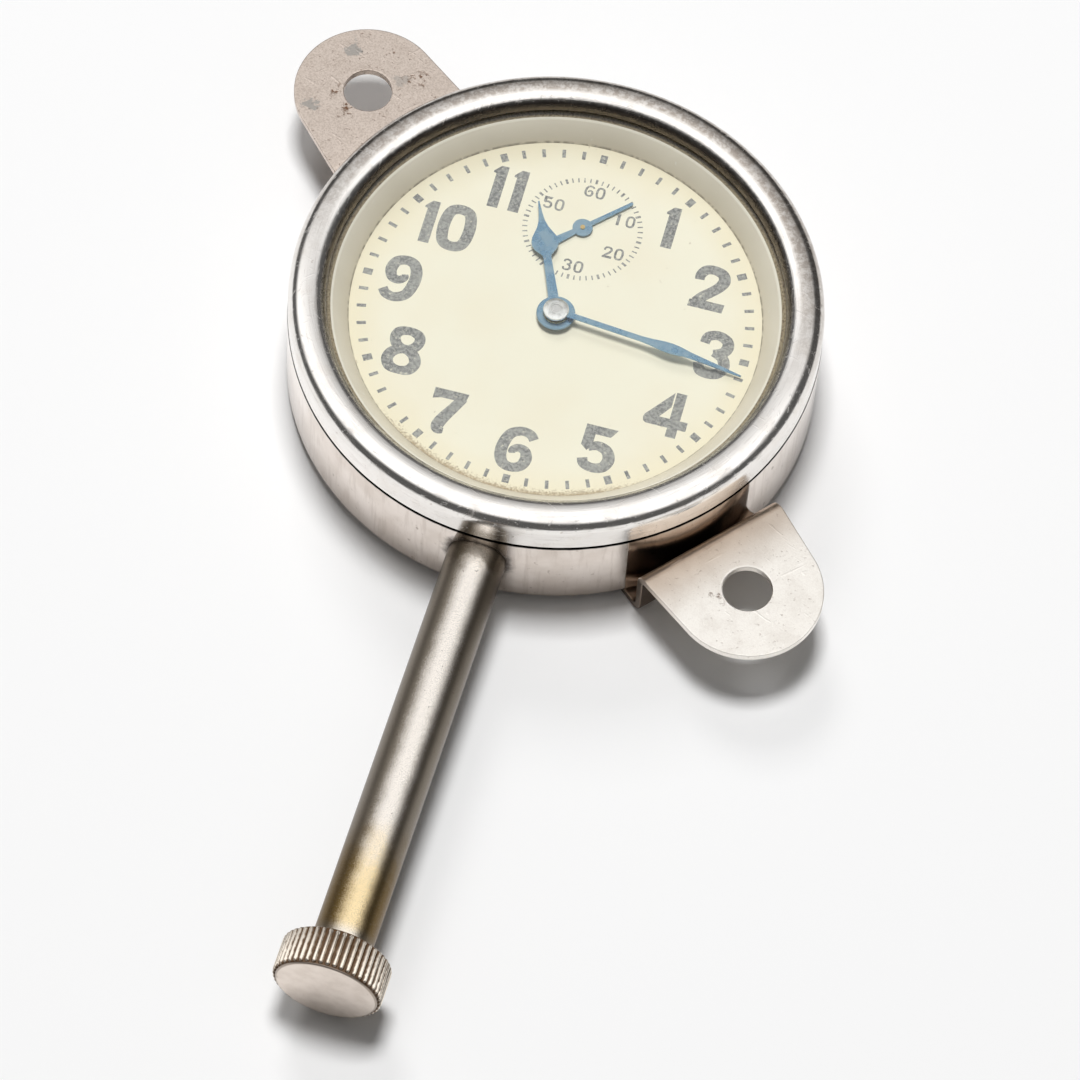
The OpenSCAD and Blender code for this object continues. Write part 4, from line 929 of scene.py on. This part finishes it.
# ---- hands ----

def polar(centre, angle, along, across):
    a = math.radians(angle)
    return Vector((centre[0] + along * math.cos(a) - across * math.sin(a),
                   centre[1] + along * math.sin(a) + across * math.cos(a), 0))


def make_blade(name, centre, angle, half, z, thick, bend_at=None, bend=0.0):
    """Flat hand blade from (distance, half width) pairs, with an optional bent tip."""
    flat = half + [(x, -w) for x, w in reversed(half)]
    drop = math.tan(math.radians(bend))
    points = []
    for x, w in flat:
        low = (x - bend_at) * drop if bend_at and x > bend_at else 0.0
        points.append(polar(centre, angle, x, w) + Vector((0, 0, z - low)))
    blade = draw_loop(name, points)
    select_mesh()
    bpy.ops.mesh.edge_face_add()
    if bend_at:
        kink = [Vector(p) for p, (x, w) in zip(points, flat) if abs(x - bend_at) < 1e-6]
        pick(blade, "VERT", lambda place: min((place - k).length for k in kink) < CLOSE)
        bpy.ops.mesh.vert_connect_path()
    select_mesh()
    draw_out((0, 0, thick))
    tidy_mesh(blade)
    return blade


def make_boss(name, centre, inner, outer, low, high, soft=0.06):
    """Turned washer of a hand, with soft edges, at a centre of its own."""
    outline = [(inner, low), (outer - soft, low), (outer, low + soft), (outer, high - soft),
               (outer - soft, high), (inner, high)]
    ring = lathe(name, outline, 72)
    if centre[0] or centre[1]:
        edit_mode(True)
        select_mesh()
        bpy.ops.transform.translate(value=(centre[0] * MM, centre[1] * MM, 0))
        edit_mode(False)
    return ring


def make_hands():
    """Three hands at the time shown, and the collet on the minute hand."""
    hour_angle = 90 - 30 * (SHOWN_HOUR + SHOWN_MINUTE / 60) + DIAL_TURN
    minute_angle = 90 - 6 * SHOWN_MINUTE + DIAL_TURN
    second_angle = 90 - 6 * SHOWN_SECOND + DIAL_TURN
    hour = [(2.0, 0.75), (5.0, 0.68), (9.2, 0.58), (9.8, 0.62), (10.3, 1.05), (10.9, 1.6),
            (11.6, 1.92), (12.3, 1.95), (13.0, 1.75), (13.8, 1.3), (14.6, 0.85), (15.6, 0.5),
            (17.0, 0.26), (19.1, 0.1)]
    minute = [(1.4, 0.5), (3.0, 0.42), (13.0, 0.42), (14.6, 0.55), (16.4, 0.8), (17.6, 0.84),
              (18.8, 0.72), (19.5, 0.6), (20.4, 0.48), (23.0, 0.36), (26.0, 0.24), (28.2, 0.1)]
    second_tail = [(-4.6, 0.62), (-0.8, 0.40)]
    second_tip = [(0.8, 0.35), (8.2, 0.26), (8.5, 0.12)]
    centre = (0, 0)
    blade = make_blade("hour_blade", centre, hour_angle, hour, HOUR_Z, thick=0.25)
    ring = make_boss("hour_boss", centre, 1.81, 2.8, 15.49, 15.77)
    install(join_pieces("hour_hand", [blade, ring]), "hour_hand", "hour_group")
    blade = make_blade("minute_blade", centre, minute_angle, minute, MINUTE_Z, thick=0.2,
                       bend_at=19.5, bend=8.0)
    ring = make_boss("minute_boss", centre, 1.26, 1.7, 16.24, 16.45, 0.04)
    install(join_pieces("minute_hand", [blade, ring]), "minute_hand", "minute_group")
    tail = make_blade("second_tail", SECONDS_AT, second_angle, second_tail, SECOND_Z, thick=0.18)
    tip = make_blade("second_tip", SECONDS_AT, second_angle, second_tip, SECOND_Z, thick=0.18)
    ring = make_boss("second_boss", SECONDS_AT, 0.36, 1.47, 14.9, 15.1, 0.05)
    install(join_pieces("seconds_hand", [tail, tip, ring]), "seconds_hand", "seconds_group")
    collet = [(0.72, 16.67), (1.26, 16.67), (1.26, 16.45), (1.82, 16.45), (1.85, 16.48),
              (1.85, 16.72), (1.8, 16.8), (1.4, 16.97), (1.3, 17.0), (0.95, 17.0),
              (0.9, 16.94), (0.78, 16.94), (0.72, 16.98)]
    install(lathe("collet", collet, 96, angle=25.0), "hand_collet", "minute_group")


# ---- dial print ----

# Numerals in their box: strokes are points (x, y, width), bars are closed outlines
DIGIT_BOX = (5.4, 7.6)
STROKES = {
    "0": [[(2.7, 6.95, 1.55), (4.15, 6.3, 1.65), (4.6, 3.8, 1.72), (4.15, 1.3, 1.65),
           (2.7, 0.65, 1.55), (1.25, 1.3, 1.65), (0.8, 3.8, 1.72), (1.25, 6.3, 1.65), "closed"]],
    "2": [[(0.95, 4.75, 1.35), (0.95, 5.6, 1.5), (1.55, 6.55, 1.55), (2.75, 6.82, 1.5),
           (4.05, 6.4, 1.65), (4.5, 5.35, 1.75), (4.05, 4.2, 1.65), (3.1, 3.1, 1.6),
           (2.1, 2.1, 1.65), (1.3, 0.9, 1.7)]],
    "3": [[(0.95, 5.35, 1.4), (1.2, 6.45, 1.5), (2.55, 6.95, 1.45), (3.95, 6.45, 1.6),
           (4.35, 5.45, 1.7), (3.85, 4.45, 1.6), (2.5, 4.0, 1.15)],
          [(2.5, 4.1, 1.15), (3.95, 3.6, 1.6), (4.5, 2.3, 1.75), (3.95, 1.1, 1.65),
           (2.6, 0.65, 1.5), (1.25, 1.0, 1.55), (0.85, 2.15, 1.5)]],
    "5": [[(1.2, 3.75, 1.1), (2.4, 4.4, 1.5), (3.85, 3.95, 1.65), (4.5, 2.6, 1.75),
           (4.0, 1.2, 1.65), (2.65, 0.7, 1.5), (1.25, 1.05, 1.5), (0.8, 1.95, 1.5)]],
    "6": [[(4.95, 5.85, 1.4), (4.3, 6.6, 1.45), (2.95, 6.85, 1.45), (1.5, 6.05, 1.6),
           (0.88, 4.2, 1.72), (0.9, 2.4, 1.72), (1.55, 1.1, 1.6), (2.8, 0.7, 1.45),
           (4.1, 1.2, 1.6), (4.6, 2.5, 1.7), (4.15, 3.75, 1.5), (3.1, 4.05, 1.25),
           (2.4, 3.5, 1.2), (2.45, 3.0, 0.9)]],
    "7": [[(4.35, 6.7, 1.5), (3.35, 4.7, 1.6), (2.45, 3.0, 1.75), (1.9, 1.55, 1.8),
           (2.05, 0.8, 1.45), (2.9, 0.75, 0.9)]],
    "8": [[(2.87, 7.0, 1.3), (4.3, 6.6, 1.5), (4.65, 5.6, 1.55), (4.1, 4.5, 1.5),
           (2.87, 4.1, 1.25), (1.64, 4.5, 1.5), (1.09, 5.6, 1.55), (1.44, 6.6, 1.5), "closed"],
          [(2.87, 3.95, 1.3), (4.3, 3.4, 1.6), (4.9, 2.15, 1.7), (4.3, 0.95, 1.6),
           (2.87, 0.6, 1.3), (1.44, 0.95, 1.6), (0.84, 2.15, 1.7), (1.44, 3.4, 1.6), "closed"]],
}
BARS = {
    "1": [[(0, 0), (1.6, 0), (1.6, 7.3), (0.5, 7.3), (-0.42, 6.25), (-0.42, 5.95), (0, 5.85)]],
    "2": [[(0.25, 0), (5.35, 0), (5.45, 1.45), (2.2, 1.45), (0.3, 1.2)]],
    "4": [[(3.75, 0), (5.25, 0), (5.25, 7.5), (3.75, 7.5)],
          [(3.53, 7.4), (0.15, 2.95), (2.15, 2.95), (3.53, 4.95)],
          [(0.55, 1.5), (6.4, 1.5), (6.4, 3.0), (0.15, 3.0), (-0.02, 2.4), (0.15, 1.75)]],
    "5": [[(0.15, 7.6), (4.75, 7.6), (3.95, 6.2), (0.15, 6.2)],
          [(0.12, 7.6), (1.7, 7.6), (1.7, 4.6), (1.1, 3.3), (0.1, 4.1)]],
    "7": [[(0.05, 7.5), (5.05, 7.5), (4.8, 6.05), (1.3, 6.05), (0.1, 5.65)]],
}
# Numeral, left edge, foot, and height as a share of the box, in the dial's own axes
HOURS = [("1", 11.5, 15.72, 0.97), ("2", 17.45, 7.15, 1.0), ("3", 20.75, -3.9, 1.05),
         ("4", 16.2, -15.0, 1.0), ("5", 8.72, -23.55, 1.0), ("6", -2.7, -26.62, 1.0),
         ("7", -13.55, -23.55, 1.0), ("8", -22.3, -15.4, 1.04), ("9", -25.6, -3.92, 1.05),
         ("1", -22.45, 6.98, 0.99), ("0", -20.27, 6.75, 1.02),
         ("1", -14.42, 15.55, 0.99), ("1", -11.32, 15.55, 0.99)]
# Small numerals: word and its middle
SMALL = [("60", 0.16, 22.1), ("10", 5.55, 18.55), ("20", 5.3, 12.72), ("30", 0.2, 9.05),
         ("40", -5.0, 12.72), ("50", -5.08, 18.55)]
SMALL_SIZE, SMALL_STEP, SMALL_THIN = 0.27, 1.68, 0.72
SMALL_HALF, SMALL_INSET, INSET_OF_1 = 1.02, 0.12, 0.4
MINUTE_TRACK_R, SECONDS_TRACK_R = 27.93, 8.38


def curve_through(points, closed):
    """Smooth run of points through the given ones, six to each span."""
    count, steps, run = len(points), 6, []
    for i in range(count if closed else count - 1):
        p = [points[(i + k) % count] if closed else points[min(max(i + k, 0), count - 1)]
             for k in (-1, 0, 1, 2)]
        for s in range(steps):
            t = s / steps
            run.append([0.5 * (2 * b + (c - a) * t + (2 * a - 5 * b + 4 * c - d) * t * t
                               + (3 * b - a - 3 * c + d) * t ** 3) for a, b, c, d in zip(*p)])
    run.append(list(points[0] if closed else points[-1]))
    return run


def sides_of(run, thin):
    """Left and right edge of a stroke of the given widths along a run of points."""
    left, right = [], []
    for i, point in enumerate(run):
        before, after = run[max(i - 1, 0)], run[min(i + 1, len(run) - 1)]
        along = Vector((after[0] - before[0], after[1] - before[1])).normalized()
        half = point[2] * thin / 2
        left.append((point[0] - along.y * half, point[1] + along.x * half, 0))
        right.append((point[0] + along.y * half, point[1] - along.x * half, 0))
    return left, right


def stroke_face(points, closed, thin):
    """Flat face of one stroke, a strip or a ring."""
    left, right = sides_of(curve_through(points, closed), thin)
    if not closed:
        return flat_face("stroke", left + right[::-1])
    ring = flat_ring("stroke", left[:-1], right[:-1])
    edit_mode(False)
    return ring


def shift_mm(x, y, z=0.0):
    return Matrix.Translation(Vector((x, y, z)) * MM)


def draw_digit(digit, thin=1.0):
    """Flat pieces of one numeral with its box corner at the origin; a 9 is a 6 turned over."""
    turned = digit == "9"
    name = "6" if turned else digit
    pieces = []
    for stroke in STROKES.get(name, []):
        closed = stroke[-1] == "closed"
        pieces.append(stroke_face(stroke[:-1] if closed else stroke, closed, thin))
    for outline in BARS.get(name, []):
        pieces.append(flat_face("bar", [(x, y, 0) for x, y in outline]))
    if turned:
        for piece in pieces:
            piece.data.transform(shift_mm(*DIGIT_BOX) @ Matrix.Rotation(math.pi, 4, "Z"))
    return pieces


def set_down(pieces, name):
    """Joins flat marks, gives them their thickness on the dial and lets them ride on the case."""
    turn = Matrix.Rotation(math.radians(DIAL_TURN), 4, "Z")
    # strokes that overlap lie at slightly different heights
    for count, piece in enumerate(pieces):
        lift = DIAL_Z + PRINT_T * (1 + 0.04 * (count % 5))
        piece.data.transform(shift_mm(0, 0, lift) @ turn)
    whole = join_pieces(name, pieces)
    edit_mode(True)
    select_mesh()
    bpy.ops.mesh.remove_doubles(threshold=1e-9)
    bpy.ops.mesh.normals_make_consistent(inside=False)
    draw_out((0, 0, -(PRINT_T + PRINT_SINK)))
    select_mesh()
    bpy.ops.mesh.normals_make_consistent(inside=False)
    edit_mode(False)
    whole.data.materials.clear()
    whole.data.materials.append(INK)
    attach(whole, "case")


def marks_round(centre, radius, count, length, width):
    """One radial mark, copied round a centre by spin."""
    x, y, half, tall = centre[0], centre[1] + radius, width / 2, length / 2
    mark = flat_face("mark", [(x - half, y - tall, 0), (x + half, y - tall, 0),
                              (x + half, y + tall, 0), (x - half, y + tall, 0)])
    edit_mode(True)
    select_mesh()
    bpy.ops.mesh.spin(steps=count - 1, angle=math.tau * (count - 1) / count, dupli=True,
                      center=Vector((centre[0], centre[1], 0)) * MM, axis=(0, 0, 1))
    edit_mode(False)
    return mark


def print_dial():
    """Hour numerals, minute track, and the track and numerals of the small seconds."""
    hours = []
    for digit, left, foot, tall in HOURS:
        for piece in draw_digit(digit):
            piece.data.transform(shift_mm(left, foot) @ Matrix.Diagonal((1, tall, 1, 1)))
            hours.append(piece)
    set_down(hours, "hour_numerals")
    set_down([marks_round((0, 0), MINUTE_TRACK_R, 60, length=1.35, width=0.52),
              marks_round((0, 0), MINUTE_TRACK_R, 12, length=1.37, width=1.02)], "minute_marks")
    turn = math.radians(-DIAL_TURN)
    sx, sy = SECONDS_AT
    centre = (sx * math.cos(turn) - sy * math.sin(turn), sx * math.sin(turn) + sy * math.cos(turn))
    fine = [marks_round(centre, SECONDS_TRACK_R, 60, length=0.75, width=0.19),
            marks_round(centre, SECONDS_TRACK_R, 12, length=0.77, width=0.34)]
    for word, x, y in SMALL:
        for place, digit in enumerate(word):
            narrow = INSET_OF_1 if digit == "1" else 0.0
            left = x + (place - 1) * SMALL_STEP + SMALL_INSET + narrow
            for piece in draw_digit(digit, SMALL_THIN):
                piece.data.transform(shift_mm(left, y - SMALL_HALF) @ Matrix.Scale(SMALL_SIZE, 4))
                fine.append(piece)
    set_down(fine, "seconds_marks")


make_bezel()
make_reflector()
make_glass()
make_tube()
make_knob()
make_strap()
make_hands()
print_dial()
scene.view_settings.view_transform = "Standard"
set_camera()
set_world(horizon=0.10, sky=1.30, fill=0.17)
add_floor(colour=(0.915, 0.915, 0.915), far_colour=(0.10, 0.10, 0.10))
add_lamp("key_soft_box", direction=(112, 79), distance=3.0, size=0.78, power=69.5)
add_lamp("back_soft_box", direction=(120, 42), distance=3.0, size=0.9, power=19.5)
